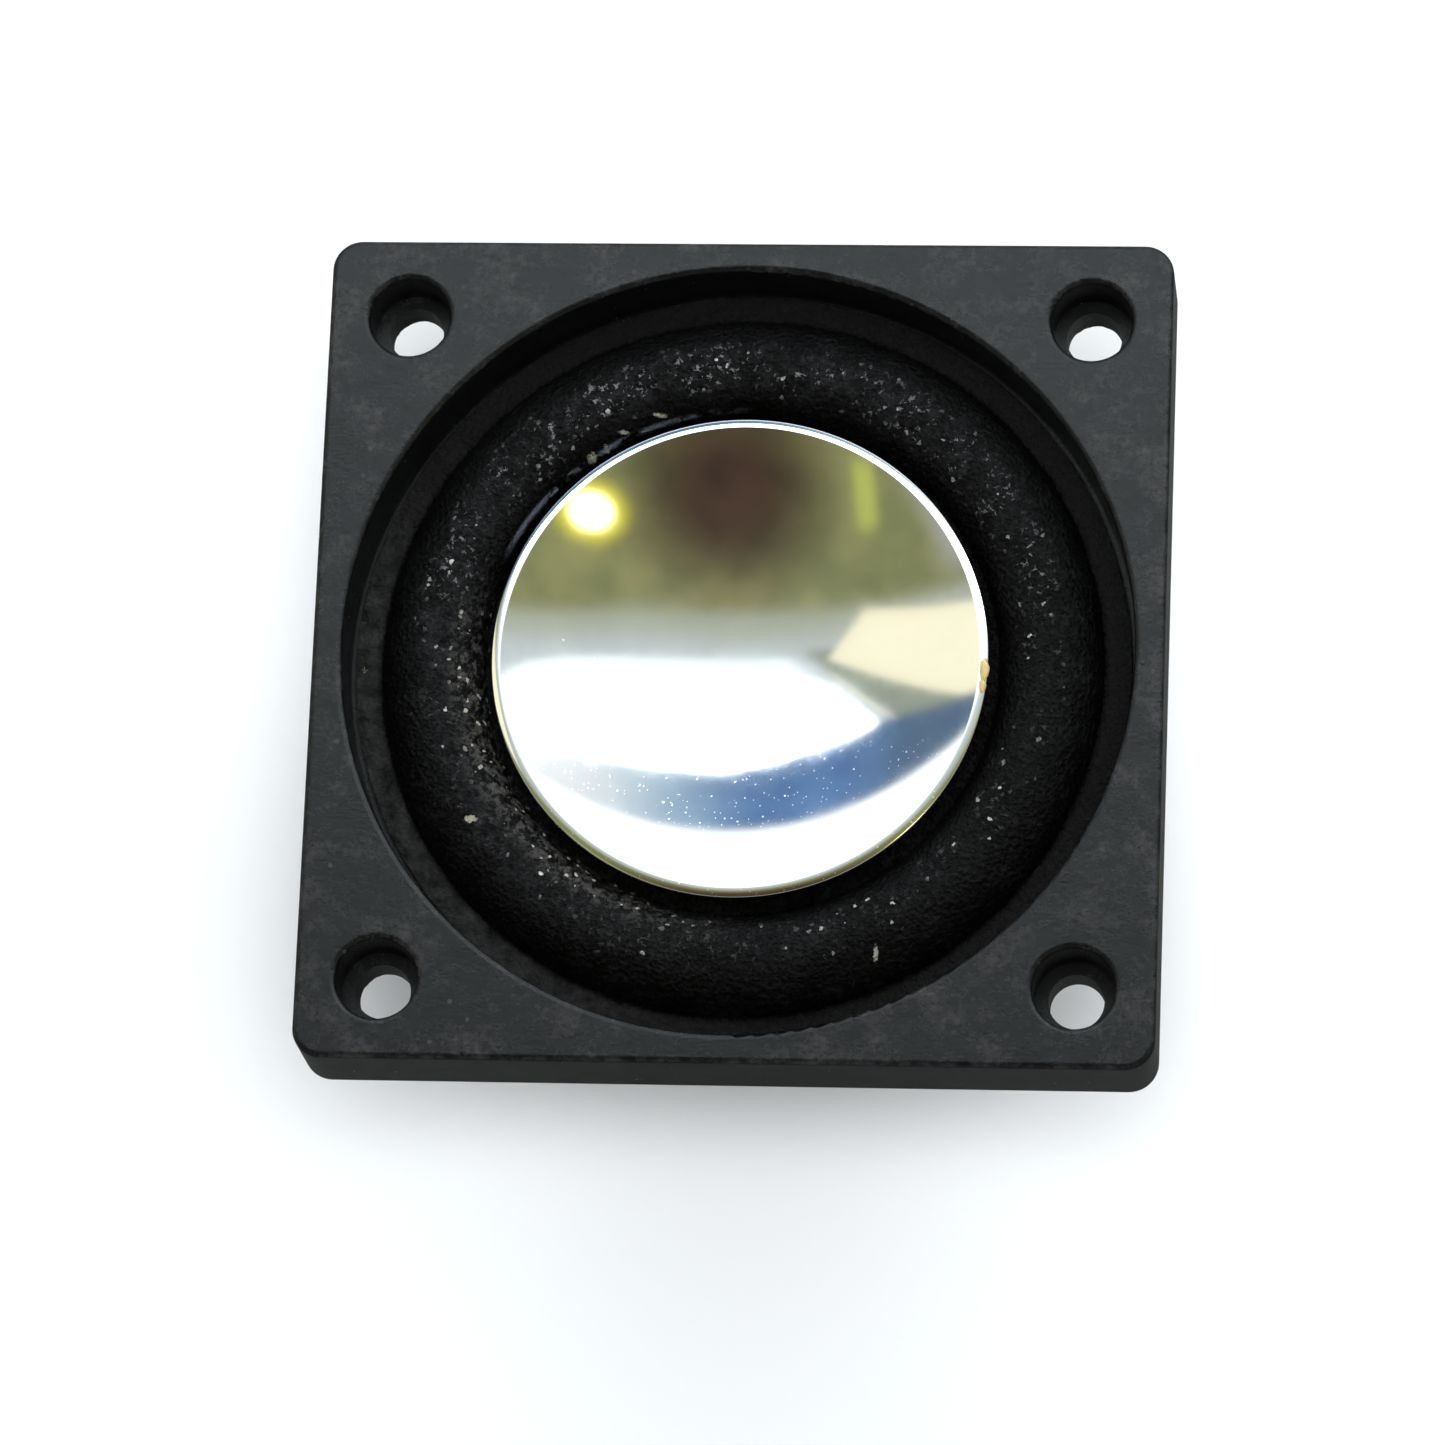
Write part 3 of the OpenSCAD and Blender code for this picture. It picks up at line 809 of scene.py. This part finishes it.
def surround_foam():
    """The roll's foam, with dust and a painted sheen and glints on its crown, a rim pressed smooth and partly
    painted pale as a reflection, and dried glue by its inner edge with painted glints.
    """
    s, color, pores, bent = foam_base("surround_foam")
    radius = s.radius()
    color = crown_dust_and_painted_glints(s, color, bent, radius)
    color = pressed_rim(s, color, radius)
    color = glue_and_painted_glints(s, color, bent, radius)
    return foam_finish(s, color, pores)


def mirror_metal():
    """Polished aluminium dish: a clear mirror under a faint film, with dust on its near half."""
    s = Shader("mirror_metal", Metallic=1.0)
    dust = s.times(s.specks(1.3, 0.2, 0.1), s.step(s.axis("Y"), 5, -2))
    settled = s.math("MAXIMUM", s.specks(2.6, 0.36, 0.14), s.specks(4.1, 0.55, 0.13))
    settled = s.times(settled, s.step(s.axis("Y"), -3, -5), 0.7)
    dust = s.math("MAXIMUM", dust, settled)
    film = s.noise(0.4, 5, 0.7)
    color = s.fade(film, (0.9, 0.9, 0.9), (0.95, 0.948, 0.94))
    color = s.mix(dust, color, (0.98, 0.98, 0.98))
    rough = s.ramp(film, (0.35, 0.085), (0.7, 0.13))
    rough = s.mix(dust, rough, (0.5, 0.5, 0.5))
    normal = s.bump(s.noise(0.5, 1), 0.004, strength=0.4)
    return s.finish(color, rough, normal)


def amber_film():
    """Polyimide film of the coil former: clear amber with a fine rolled grain."""
    s = Shader("amber_film", IOR=1.7, Transmission_Weight=0.25, Coat_Weight=0.3, Coat_Roughness=0.15)
    color = s.fade(s.noise(1.2, 3), (0.42, 0.16, 0.02), (0.55, 0.24, 0.035))
    rough = s.fade(s.noise(3, 3), 0.2, 0.35)
    normal = s.bump(s.noise(1, 2, vector=s.stretched((1, 1, 14))), 0.01)
    return s.finish(color, rough, normal)


def enamelled_copper():
    """Wound copper wire under red-brown enamel."""
    s = Shader("enamelled_copper", Metallic=1.0, Coat_Weight=0.6, Coat_Roughness=0.12)
    turns = s.noise(1, 2, vector=s.stretched((0.3, 0.3, 7)))
    color = s.fade(turns, (0.42, 0.12, 0.04), (0.7, 0.27, 0.11))
    rough = s.fade(s.noise(4, 2), 0.22, 0.4)
    return s.finish(color, rough, s.bump(turns, 0.01))


def brown_paper():
    """Kraft paper with short fibres."""
    s = Shader("brown_paper", Roughness=0.85)
    fibres = s.noise(2.2, 5, 0.7, vector=s.stretched((1, 1, 4)), distortion=1.5)
    color = s.fade(fibres, (0.3, 0.19, 0.1), (0.47, 0.32, 0.18))
    return s.finish(color, normal=s.bump(fibres, 0.03))


def spider_cloth():
    """Resin-dipped cotton: an over-and-under weave in stiff amber resin."""
    s = Shader("spider_cloth", Sheen_Weight=0.15, Coat_Weight=0.15, Coat_Roughness=0.3)
    warp, weft = (
        s.texture("Wave", s.mm, {"bands_direction": axis}, Scale=0.75, Distortion=0.6, Detail=1)["Fac"]
        for axis in "XY"
    )
    threads = s.math("MAXIMUM", warp, weft)
    color = s.ramp(threads, (0.2, (0.26, 0.13, 0.03)), (0.9, (0.62, 0.4, 0.16)))
    color = s.mix(1.0, color, s.fade(s.noise(0.5, 3), 0.75, 1.1), "MULTIPLY")
    rough = s.ramp(threads, (0.2, 0.4), (0.9, 0.75))
    return s.finish(color, rough, s.bump(threads, 0.06))


def glue(name, thin, thick, roughness=0.3):
    """Set adhesive: glossy, pooled thicker in places, with small bubbles."""
    s = Shader(name, IOR=1.5, Coat_Weight=0.4, Coat_Roughness=0.15)
    pooled = s.noise(0.9, 3)
    color = s.fade(pooled, thin, thick)
    color = s.mix(s.specks(2.2, 0.1, 0.2), color, tuple(0.6 * c + 0.25 * max(thin) for c in thin))
    rough = s.fade(s.noise(2.5, 3), roughness, roughness + 0.25)
    return s.finish(color, rough, s.bump(s.noise(1.4, 2), 0.06))


def zinc_plate():
    """Pressed steel, zinc plated: faint blue-yellow drift, turned rings and handling marks."""
    s = Shader("zinc_plate", Metallic=1.0)
    drift = s.noise(0.16, 3)
    color = s.ramp(drift, (0.3, (0.5, 0.53, 0.58)), (0.5, (0.6, 0.6, 0.6)), (0.7, (0.62, 0.59, 0.5)))
    color = s.mix(s.specks(0.9, 0.08, 0.12), color, (0.25, 0.24, 0.22))
    rough = s.fade(s.noise(0.8, 5, 0.7), 0.22, 0.45)
    settings = {"wave_type": "RINGS", "rings_direction": "Z"}
    rings = s.bump(s.texture("Wave", s.mm, settings, Scale=1.4, Distortion=0.3)["Fac"], 0.004)
    return s.finish(color, rough, s.bump(s.cells(1.6), 0.01, rings, 0.5))


def nickel_plate():
    """The magnet's bright nickel skin over pressed powder."""
    s = Shader("nickel_plate", Metallic=1.0)
    color = s.fade(s.noise(0.6, 3), (0.6, 0.57, 0.5), (0.72, 0.69, 0.62))
    rough = s.fade(s.noise(2, 4, 0.7), 0.12, 0.3)
    return s.finish(color, rough, s.bump(s.noise(7, 2), 0.004))


def black_felt():
    """Pressed wool felt."""
    s = Shader("black_felt", Roughness=0.95, Sheen_Weight=0.5, Sheen_Roughness=0.5)
    hairs = s.noise(4, 5, 0.75, distortion=2.0)
    color = s.fade(hairs, (0.012, 0.012, 0.013), (0.05, 0.05, 0.052))
    return s.finish(color, normal=s.bump(hairs, 0.08))


def phenolic_board():
    """Brown paper laminate: layers on the cut edges, mottled faces."""
    s = Shader("phenolic_board", IOR=1.55, Coat_Weight=0.25, Coat_Roughness=0.25)
    fibres = s.noise(1.6, 5, 0.7, distortion=1.2)
    color = s.fade(fibres, (0.13, 0.05, 0.018), (0.24, 0.105, 0.04))
    layers = s.noise(1, 1, vector=s.stretched((0.2, 0.2, 9)))
    color = s.mix(0.25, color, s.ramp(layers, (0.4, (0.1, 0.04, 0.015)), (0.6, (0.3, 0.15, 0.06))))
    rough = s.fade(fibres, 0.35, 0.55)
    return s.finish(color, rough, s.bump(layers, 0.02))


def plated_metal(name, dark, pale, roughness):
    """A thin stamped metal part: rolling lines along it, tarnish, and dulled spots."""
    s = Shader(name, Metallic=1.0)
    rolled = s.noise(1, 3, vector=s.stretched((1, 1, 0.12)))
    tarnish = s.noise(0.9, 4, 0.65)
    color = s.ramp(tarnish, (0.3, dark), (0.6, pale))
    rough = s.ramp(tarnish, (0.3, roughness + 0.2), (0.65, roughness))
    return s.finish(color, rough, s.bump(rolled, 0.008))


def copper_braid():
    """Copper tinsel strands with worn tinning."""
    s = Shader("copper_braid", Metallic=1.0)
    worn = s.noise(3.5, 3)
    color = s.ramp(worn, (0.35, (0.66, 0.33, 0.17)), (0.65, (0.75, 0.62, 0.52)))
    rough = s.fade(worn, 0.28, 0.42)
    return s.finish(color, rough, s.bump(s.noise(12, 2), 0.01))


def tin_solder():
    """Solder: bright where it froze smooth, grainy where it froze slowly."""
    s = Shader("tin_solder", Metallic=1.0)
    grain = s.noise(2.4, 4, 0.6)
    color = s.fade(grain, (0.62, 0.63, 0.64), (0.8, 0.8, 0.79))
    rough = s.fade(grain, 0.12, 0.38)
    return s.finish(color, rough, s.bump(s.noise(5, 3), 0.02))


MATERIALS = {
    "frame_plastic": black_plastic(),
    "gasket_foam": gasket_foam(),
    "surround_foam": surround_foam(),
    "adhesive": glue("amber_glue", (0.5, 0.36, 0.1), (0.64, 0.52, 0.2)),
    "dark_adhesive": glue("black_glue", (0.012, 0.011, 0.01), (0.025, 0.022, 0.02), 0.2),
    "dish_metal": mirror_metal(),
    "former_film": amber_film(),
    "copper": enamelled_copper(),
    "kraft_paper": brown_paper(),
    "spider_cloth": spider_cloth(),
    "plated_steel": zinc_plate(),
    "magnet_plating": nickel_plate(),
    "felt": black_felt(),
    "phenolic_board": phenolic_board(),
    "terminal_brass": plated_metal("terminal_brass", (0.42, 0.3, 0.11), (0.72, 0.55, 0.24), 0.2),
    "terminal_tinned": plated_metal("terminal_tin", (0.42, 0.42, 0.41), (0.7, 0.7, 0.69), 0.25),
    "lead_braid": copper_braid(),
    "solder": tin_solder(),
}

# ---- placing pieces


def place(piece, slot, body, *nodes):
    """Gives a piece its name and the material for its slot, stands it in for CAD nodes, and rides it on a
    body.
    """
    piece.name = nodes[0] + "_detail"
    dress(piece, MATERIALS[slot])
    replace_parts(piece, *nodes)
    if body is not None:
        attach(piece, body)
    return piece


def blend_round(piece):
    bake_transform(piece)
    return piece


def bead(name, outline, wobble, waves):
    """A ring of glue whose surface swells and thins along its length."""

    def shift(points, normals):
        turn = np.arctan2(points[:, :, 1], points[:, :, 0])
        swell = sum(np.sin(turn * w + SEED * w) / len(waves) for w in waves)
        return points + normals * (wobble * (swell - 1))[:, :, None]

    return sharpen(revolve(name, outline, 240, shift), 50)


# ---- moving assembly


def make_surround():
    """The foam roll and its two flat rims, with pores that are real dents."""
    mid_r, roll_r = ROLL_MID_R, ROLL_R
    rim_top = RIM_Z + FOAM_T
    rim_in = SURROUND_INNER_R
    fine, coarse = 0.13, 0.4
    lean = math.degrees(math.asin(FOAM_T / roll_r))
    top = resample(
        [(RIM_OUT_R, rim_top), *arc(mid_r, RIM_Z, roll_r, lean, 180 - lean, 64), (rim_in, rim_top)], fine
    )
    under = resample(
        [(rim_in, RIM_Z), *arc(mid_r, RIM_Z, roll_r - FOAM_T, 180, 0, 24), (RIM_OUT_R, RIM_Z)], coarse
    )

    def shift(points, normals):
        out = points.copy()
        for i in range(len(top)):
            for k in range(points.shape[1]):
                p = Vector(points[i, k])
                swell = 0.05 * noise.noise(p * 0.45 + Vector((SEED, 0, 0)))
                near = noise.voronoi(p * 2.4)[0]
                pit = -0.055 * max(0.0, 1 - near[0] / 0.5)
                skin = 0.03 * noise.noise(p * 5)
                out[i, k] += normals[i, k] * (swell + pit + skin - 0.02)
        return out

    foam = revolve("surround", top + under, 720, shift)
    place(foam, "surround_foam", None, "surround")
    return blend_round(foam)


def make_diaphragm():
    """The polished dish: a spherical mirror, a crisp edge, and a lip that falls away outside it and rolls
    under."""
    mirror_r = DISH_R - LIP_W
    centre_z = DISH_CENTRE_Z
    edge = math.degrees(math.asin(mirror_r / DISH_CURVE_R))
    back_r = DISH_CURVE_R + DISH_T
    back_edge = math.degrees(math.asin((mirror_r + 0.05) / back_r))
    front = arc(0, centre_z, DISH_CURVE_R, -90, edge - 90, 150)

    # the lip's slope, in degrees, where it starts and where it turns into the tight outer roll
    start, stop, roll_r = 2, 24, 0.14
    run = LIP_W - 0.03 - roll_r * (1 - math.sin(math.radians(stop)))
    fall_r = run / (math.sin(math.radians(stop)) - math.sin(math.radians(start)))
    fall_x = mirror_r + 0.03 - fall_r * math.sin(math.radians(start))
    fall_z = DISH_TOP_Z - fall_r * math.cos(math.radians(start))
    fall = arc(fall_x, fall_z, fall_r, 90 - start, 90 - stop, 14)
    roll_z = fall[-1][1] - roll_r * math.cos(math.radians(stop))
    roll = arc(DISH_R - roll_r, roll_z, roll_r, 90 - stop, -60, 10)
    under = [(DISH_R - LIP_W / 2, DISH_TOP_Z - LIP_W), (mirror_r + 0.15, DISH_TOP_Z - 0.8 * LIP_W)]
    back = arc(0, centre_z, back_r, back_edge - 90, -90, 60)
    front[0] = (0.0, centre_z - DISH_CURVE_R)
    back[-1] = (0.0, centre_z - back_r)
    dish = revolve("diaphragm", front + fall + roll[1:] + under + back, 720)
    sharpen(dish, 25)
    return place(dish, "dish_metal", "moving_assembly", "diaphragm")


def make_coil():
    """The winding's round turns, on the former."""
    wire = 0.1
    low, high = box_mm("coil_winding")
    turns = round((high[2] - low[2]) / (2 * wire))
    outline = [(COIL_IN_R, high[2]), (COIL_IN_R, low[2])]
    for i in range(turns):
        outline += arc(high[0] - wire, low[2] + wire * (2 * i + 1), wire, -80, 80, 6)
    coil = revolve("coil_winding", outline, 180)
    place(coil, "copper", "moving_assembly", "coil_winding")


def make_spider():
    """The corrugated cloth, woven over and under, stiff with resin."""
    mid_z = (SPIDER_LOW[2] + SPIDER_HIGH[2]) / 2
    wave_h = (SPIDER_HIGH[2] - SPIDER_LOW[2] - SPIDER_T) / 2
    half = SPIDER_T / 2
    thread, thread_pitch = 0.03, 0.55

    def height(r):
        if not WAVE_FROM < r < WAVE_TO:
            return mid_z
        return mid_z + wave_h * math.sin((r - WAVE_FROM) / (WAVE_TO - WAVE_FROM) * 2 * math.pi * WAVE_COUNT)

    radii = np.arange(SPIDER_INNER_R, SPIDER_R + 0.01, 0.06)
    top = [(r, height(r) + half - thread) for r in radii]
    under = [(r, height(r) - half + thread) for r in radii[::-1]]

    def shift(points, normals):
        threads = np.sin(points[:, :, :2] * 2 * math.pi / thread_pitch)
        return points + normals * (thread * threads[:, :, 0] * threads[:, :, 1])[:, :, None]

    cloth = revolve("spider", top + under, 640, shift)
    place(cloth, "spider_cloth", None, "spider")
    return blend_round(cloth)


LEAD_PATH = [
    (8.76, 13.0), (9.3, 13.15), (10.1, 13.4), (11.0, 13.6), (12.0, 13.7), (13.0, 13.65),
    (14.0, 13.4), (14.9, 12.95), (15.7, 12.35), (16.25, 11.7), (16.5, 11.1), (16.6, 10.5),
    (16.6, 10.05),
]
LEAD_R = 0.3
STRANDS = 6
STRAND_SIDES = 6
TWISTS = 9


def smooth_path(points, per_span):
    """A Catmull-Rom curve through the points."""
    points = [Vector(p) for p in points]
    points = [2 * points[0] - points[1], *points, 2 * points[-1] - points[-2]]
    out = []
    for a, b, c, d in zip(points, points[1:], points[2:], points[3:]):
        for i in range(per_span):
            t = i / per_span
            out.append(
                0.5 * (2 * b + (c - a) * t + (2 * a - 5 * b + 4 * c - d) * t ** 2
                       + (3 * b - a - 3 * c + d) * t ** 3)
            )
    return [*out, points[-2]]


def tube(path, radius, sides, side_axis, turn=0.0, twist=0.0, offset=0.0):
    """Points and faces of a capped tube along a path, wound round it at that offset."""
    points, faces = [], []
    last = len(path) - 1
    for i, at in enumerate(path):
        along = (path[min(i + 1, last)] - path[max(i - 1, 0)]).normalized()
        u = side_axis
        v = along.cross(u).normalized()
        phase = turn + 2 * math.pi * twist * i / last
        centre = at + offset * (math.cos(phase) * u + math.sin(phase) * v)
        for k in range(sides):
            angle = 2 * math.pi * k / sides + phase
            points.append(centre + radius * (math.cos(angle) * u + math.sin(angle) * v))
    for i in range(last):
        for k in range(sides):
            m = (k + 1) % sides
            faces.append((i * sides + k, i * sides + m, (i + 1) * sides + m, (i + 1) * sides + k))
    faces.append(tuple(range(sides))[::-1])
    faces.append(tuple(last * sides + k for k in range(sides)))
    return points, faces


def make_lead(name, side):
    """One flexible lead, six strands twisted round a core, from the collar to its terminal."""
    bearing = math.atan2(side * TERMINAL_X, RIVET_Y)
    outwards = Vector((math.sin(bearing), math.cos(bearing), 0))
    across = Vector((math.cos(bearing), -math.sin(bearing), 0))
    path = smooth_path([outwards * r + Vector((0, 0, z)) for r, z in LEAD_PATH], 12)
    strand_r = LEAD_R / 3
    parts = [tube(path, strand_r, STRAND_SIDES, across)]
    for i in range(STRANDS):
        parts.append(
            tube(path, strand_r, STRAND_SIDES, across, 2 * math.pi * i / STRANDS, TWISTS, LEAD_R - strand_r)
        )
    points, faces = [], []
    for strand_points, strand_faces in parts:
        faces += [tuple(len(points) + k for k in face) for face in strand_faces]
        points += strand_points
    lead = outward(mesh_object(name, points, faces))
    place(lead, "lead_braid", None, name)
    return blend_round(lead)


def make_blob(name, radius, x, y, z, shape=(1, 1, 1)):
    """A small lump of set glue, in the shape it dried in, stretched by that much along X, Y and Z."""
    ball = bmesh.new()
    bmesh.ops.create_icosphere(ball, subdivisions=4, radius=radius * MM)
    mesh = bpy.data.meshes.new(name)
    ball.to_mesh(mesh)
    ball.free()
    blob = shown(name, smoothed(mesh))
    roughen(blob, 1.2 / radius, 0.22 * radius, offset=x)
    mesh.transform(Matrix.Diagonal((*shape, 1)))
    return moved(blob, x, y, z)


def dish_back_line(outer_r, inner_r):
    """Points just under the dish's back surface, from one radius in to the other."""
    back_r = DISH_CURVE_R + DISH_T
    radii = np.linspace(outer_r, inner_r, 8)
    return [(r, DISH_CENTRE_Z - math.sqrt(back_r ** 2 - r ** 2) - 0.01) for r in radii]


def make_edge_glue():
    """The glue between the dish's back and the foam, with two smears that came up over the lip."""
    low, high = box_mm("diaphragm_edge_adhesive")
    inner_r = SURROUND_INNER_R
    back = dish_back_line(high[0], inner_r)
    outline = [(inner_r, low[2]), (high[0] - 0.2, low[2]), *back]
    edge = bead("diaphragm_edge_adhesive", outline, 0.012, (5, 13))
    smear_r = DISH_R - 0.2
    smears = [make_blob("smear", size, smear_r * math.cos(t), smear_r * math.sin(t), DISH_TOP_Z - 0.04, shape)
              for size, t, shape in ((0.3, -0.045, (0.75, 1.9, 0.4)), (0.22, -0.115, (0.8, 1.5, 0.45)))]
    edge = joined("diaphragm_edge_adhesive", [edge, *smears])
    place(edge, "adhesive", "moving_assembly", "diaphragm_edge_adhesive")


def make_former_glue():
    """The hollow fillet between the former and the dish."""
    low, high = box_mm("former_adhesive")
    back = dish_back_line(high[0], COIL_IN_R)
    hollow = [(COIL_IN_R + 0.12, low[2] + 0.25), (COIL_IN_R + 0.3, low[2] + 0.7)]
    ring_glue = bead("former_adhesive", [(COIL_IN_R, low[2]), *hollow, *back], 0.012, (4, 9))
    place(ring_glue, "adhesive", "moving_assembly", "former_adhesive")


def make_spider_glue():
    """The bead between the spider and the collar."""
    low, high = box_mm("spider_adhesive")
    fillet = [(PAPER_R, low[2]), (high[0], low[2]), (PAPER_R + 0.25, low[2] + 0.3), (PAPER_R, high[2])]
    ring_glue = bead("spider_adhesive", rounded(fillet, 0.12), 0.07, (6, 11, 17))
    place(ring_glue, "dark_adhesive", "moving_assembly", "spider_adhesive")


def make_lead_anchors():
    """The two dabs that hold the leads to the collar."""
    low, high = box_mm("lead_anchors")
    radius = (high[2] - low[2]) / 2
    blobs = [make_blob("blob", 0.86 * radius, side * (high[0] - radius), high[1] - radius, low[2] + radius)
             for side in (1, -1)]
    place(joined("lead_anchors", blobs), "dark_adhesive", "moving_assembly", "lead_anchors")


# ---- motor, terminals and gasket


def make_yoke():
    """The steel cup, with pressed corners."""
    gap_r, floor_z = 8.78, 2.5
    corners = [
        (0, YOKE_LOW[2]), (YOKE_HIGH[0], YOKE_LOW[2]), (YOKE_HIGH[0], YOKE_HIGH[2]), (gap_r, YOKE_HIGH[2]),
        (gap_r, floor_z), (0, floor_z),
    ]
    outline = rounded(corners, [0, 0.6, 0.15, 0.12, 0.3, 0], 6)
    yoke = sharpen(revolve("yoke", outline, 256), 40)
    place(yoke, "plated_steel", "chassis", "yoke")


def make_felt():
    """The damping pad on the pole, with a soft woolly edge."""
    low, high = box_mm("pole_felt")
    corners = [(0, low[2]), (high[0], low[2]), (high[0], high[2]), (0, high[2])]
    outline = rounded(corners, [0, 0.1, 0.25, 0])
    pad = revolve("pole_felt", resample(outline, 0.3), 160)
    roughen(pad, 2.5, 0.07)
    place(pad, "felt", "chassis", "pole_felt")


def make_yoke_glue():
    """The bead that holds the yoke in the frame, uneven where it was wiped."""
    low, high = box_mm("yoke_adhesive")
    inner_r = YOKE_HIGH[0]
    outline = [(inner_r, low[2]), (inner_r + 0.35, low[2] + 0.05), (high[0], low[2] + 0.6),
               (inner_r + 0.1, low[2] + 0.6), (inner_r + 0.1, high[2]), (inner_r, high[2])]
    ring_glue = bead("yoke_adhesive", rounded(outline, [0.05, 0.2, 0.05, 0, 0, 0]), 0.03, (7, 12, 19))
    place(ring_glue, "adhesive", "chassis", "yoke_adhesive")


def corner_loop(low, high, radius):
    """A rectangle with rounded corners."""
    corners = [(low[0], low[1]), (high[0], low[1]), (high[0], high[1]), (low[0], high[1])]
    return rounded(corners, radius, 6)


def make_gasket():
    """The foam gasket, die-cut, a little rough all over."""
    low, high = box_mm("rear_gasket")
    corner_r, opening_r, hole_r = 1.5, 19.7, 1.5
    loops = [corner_loop(low, high, corner_r), ring(0, 0, opening_r, 160)]
    loops += [ring(x * HOLE_AT, y * HOLE_AT, hole_r, 32) for x in (-1, 1) for y in (-1, 1)]
    gasket = remesh(plate("rear_gasket", loops, low[2], high[2], 0.1), 0.17)
    roughen(gasket, 2.4, 0.035)
    place(gasket, "gasket_foam", "chassis", "rear_gasket")


def make_board():
    """The terminal board, punched from paper laminate."""
    low, high = box_mm("terminal_board")
    loops = [corner_loop(low, high, 0.5)]
    loops += [ring(x * TERMINAL_X, RIVET_Y, RIVET_HOLE_R, 32) for x in (-1, 1)]
    board = plate("terminal_board", loops, low[2], high[2], 0.06)
    place(board, "phenolic_board", "chassis", "terminal_board")


TAG_T = 0.4
TAG_BEND_R = 0.4
TAG_HOLE_R = 0.55
TAG_HOLE_Z = 3.1


def bend_strip(obj, flat_to, curved_to, bent):
    """Cuts a flat strip across where it will bend, then moves each point to bent(side, along, out)."""
    work = bmesh.new()
    work.from_mesh(obj.data)
    for at in np.linspace(flat_to, curved_to, 9):
        geometry = [*work.verts, *work.edges, *work.faces]
        bmesh.ops.bisect_plane(work, geom=geometry, plane_co=(0, at * MM, 0), plane_no=(0, 1, 0), dist=1e-8)
    for vertex in work.verts:
        vertex.co = Vector(bent(*(c / MM for c in vertex.co))) * MM
    bmesh.ops.recalc_face_normals(work, faces=work.faces)
    work.to_mesh(obj.data)
    work.free()
    return sharpen(obj, 35)


def make_tag(name, slot, x):
    """A solder tag cut from strip: a foot under the board, one bend, and a blade with a wire hole."""
    low, high = box_mm("terminal_positive")
    foot, blade = 1.3, 1.1
    foot_y = low[1]
    bend_y = high[1] - TAG_T / 2 - TAG_BEND_R
    bend_z = high[2] - TAG_T / 2 - TAG_BEND_R
    bend_at = bend_y - foot_y
    down_at = bend_at + TAG_BEND_R * math.pi / 2
    tip = down_at + bend_z - low[2]
    shoulder = [(-foot, 0), (foot, 0), (foot, bend_at - 0.2), (blade, bend_at + 0.2)]
    outline = rounded(shoulder, 0.12, 3)
    turns = np.linspace(0, math.pi, 25)
    outline += [(blade * math.cos(t), tip - blade + blade * math.sin(t)) for t in turns]
    outline += [(-blade, bend_at + 0.2), (-foot, bend_at - 0.2)]
    hole_at = down_at + bend_z - TAG_HOLE_Z
    loops = [outline, ring(0, RIVET_Y - foot_y, RIVET_HOLE_R, 32), ring(0, hole_at, TAG_HOLE_R, 32)]

    def bent(side, along, out):
        reach = TAG_BEND_R + out
        if along <= bend_at:
            return side + x, foot_y + along, bend_z + reach
        if along < down_at:
            turn = (along - bend_at) / TAG_BEND_R
            return side + x, bend_y + reach * math.sin(turn), bend_z + reach * math.cos(turn)
        return side + x, bend_y + reach, bend_z - (along - down_at)

    tag = bend_strip(plate(name, loops, -TAG_T / 2, TAG_T / 2, 0.05), bend_at, down_at, bent)
    place(tag, slot, "chassis", name)


def make_rivets():
    """Tubular rivets with rolled heads."""
    shank_r, head_r, bore_r, head_t = 0.7, 1.1, 0.35, 0.35
    low, high = (corner[2] for corner in box_mm("terminal_rivets"))
    corners = [
        (bore_r, low), (head_r, low), (head_r, low + head_t), (shank_r, low + head_t),
        (shank_r, high - head_t), (head_r, high - head_t), (head_r, high), (bore_r, high),
    ]
    outline = rounded(corners, [0.2, 0.28, 0.04, 0.02, 0.02, 0.04, 0.28, 0.2], 5)
    rivets = [moved(revolve("rivet", outline, 48), x * TERMINAL_X, RIVET_Y) for x in (1, -1)]
    place(sharpen(joined("terminal_rivets", rivets), 50), "terminal_brass", "chassis", "terminal_rivets")


def make_solder():
    """Solder wetted over each rivet head and up the lead's end."""
    low, high = box_mm("solder_joints")
    radius, height = (high[1] - low[1]) / 2, high[2] - low[2]
    outline = [(0, 0), (0.98 * radius, 0), (0.86 * radius, 0.18 * height), (0.6 * radius, 0.42 * height),
               (0.5 * radius, 0.7 * height), (0.34 * radius, 0.92 * height), (0, 0.97 * height)]
    outline = resample(rounded(outline, [0, 0.02, 0.1, 0.15, 0.15, 0.15, 0]), 0.05)
    joints = []
    for side in (1, -1):
        joint = revolve("joint", outline, 64)
        roughen(joint, 1.3, 0.08 * radius, 2, offset=side * 3)
        for vertex in joint.data.vertices:
            vertex.co.z = max(vertex.co.z, 0)
        joints.append(moved(joint, side * TERMINAL_X, RIVET_Y, low[2]))
    place(joined("solder_joints", joints), "solder", "chassis", "solder_joints")


make_surround()
make_diaphragm()
make_coil()
make_spider()
make_lead("lead_positive", 1)
make_lead("lead_negative", -1)
make_edge_glue()
make_former_glue()
make_spider_glue()
make_lead_anchors()
make_yoke()
make_felt()
make_yoke_glue()
make_gasket()
make_board()
make_tag("terminal_positive", "terminal_brass", TERMINAL_X)
make_tag("terminal_negative", "terminal_tinned", -TERMINAL_X)
make_rivets()
make_solder()

# ---- CAD parts that keep their shape

hidden = {node for o in bpy.data.objects for node in o.get("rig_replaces", [])}
for part in frame["record"]["subparts"]:
    if part["node"] not in hidden:
        dress(frame["nodes"][part["node"]], MATERIALS[part["material_slot"]])
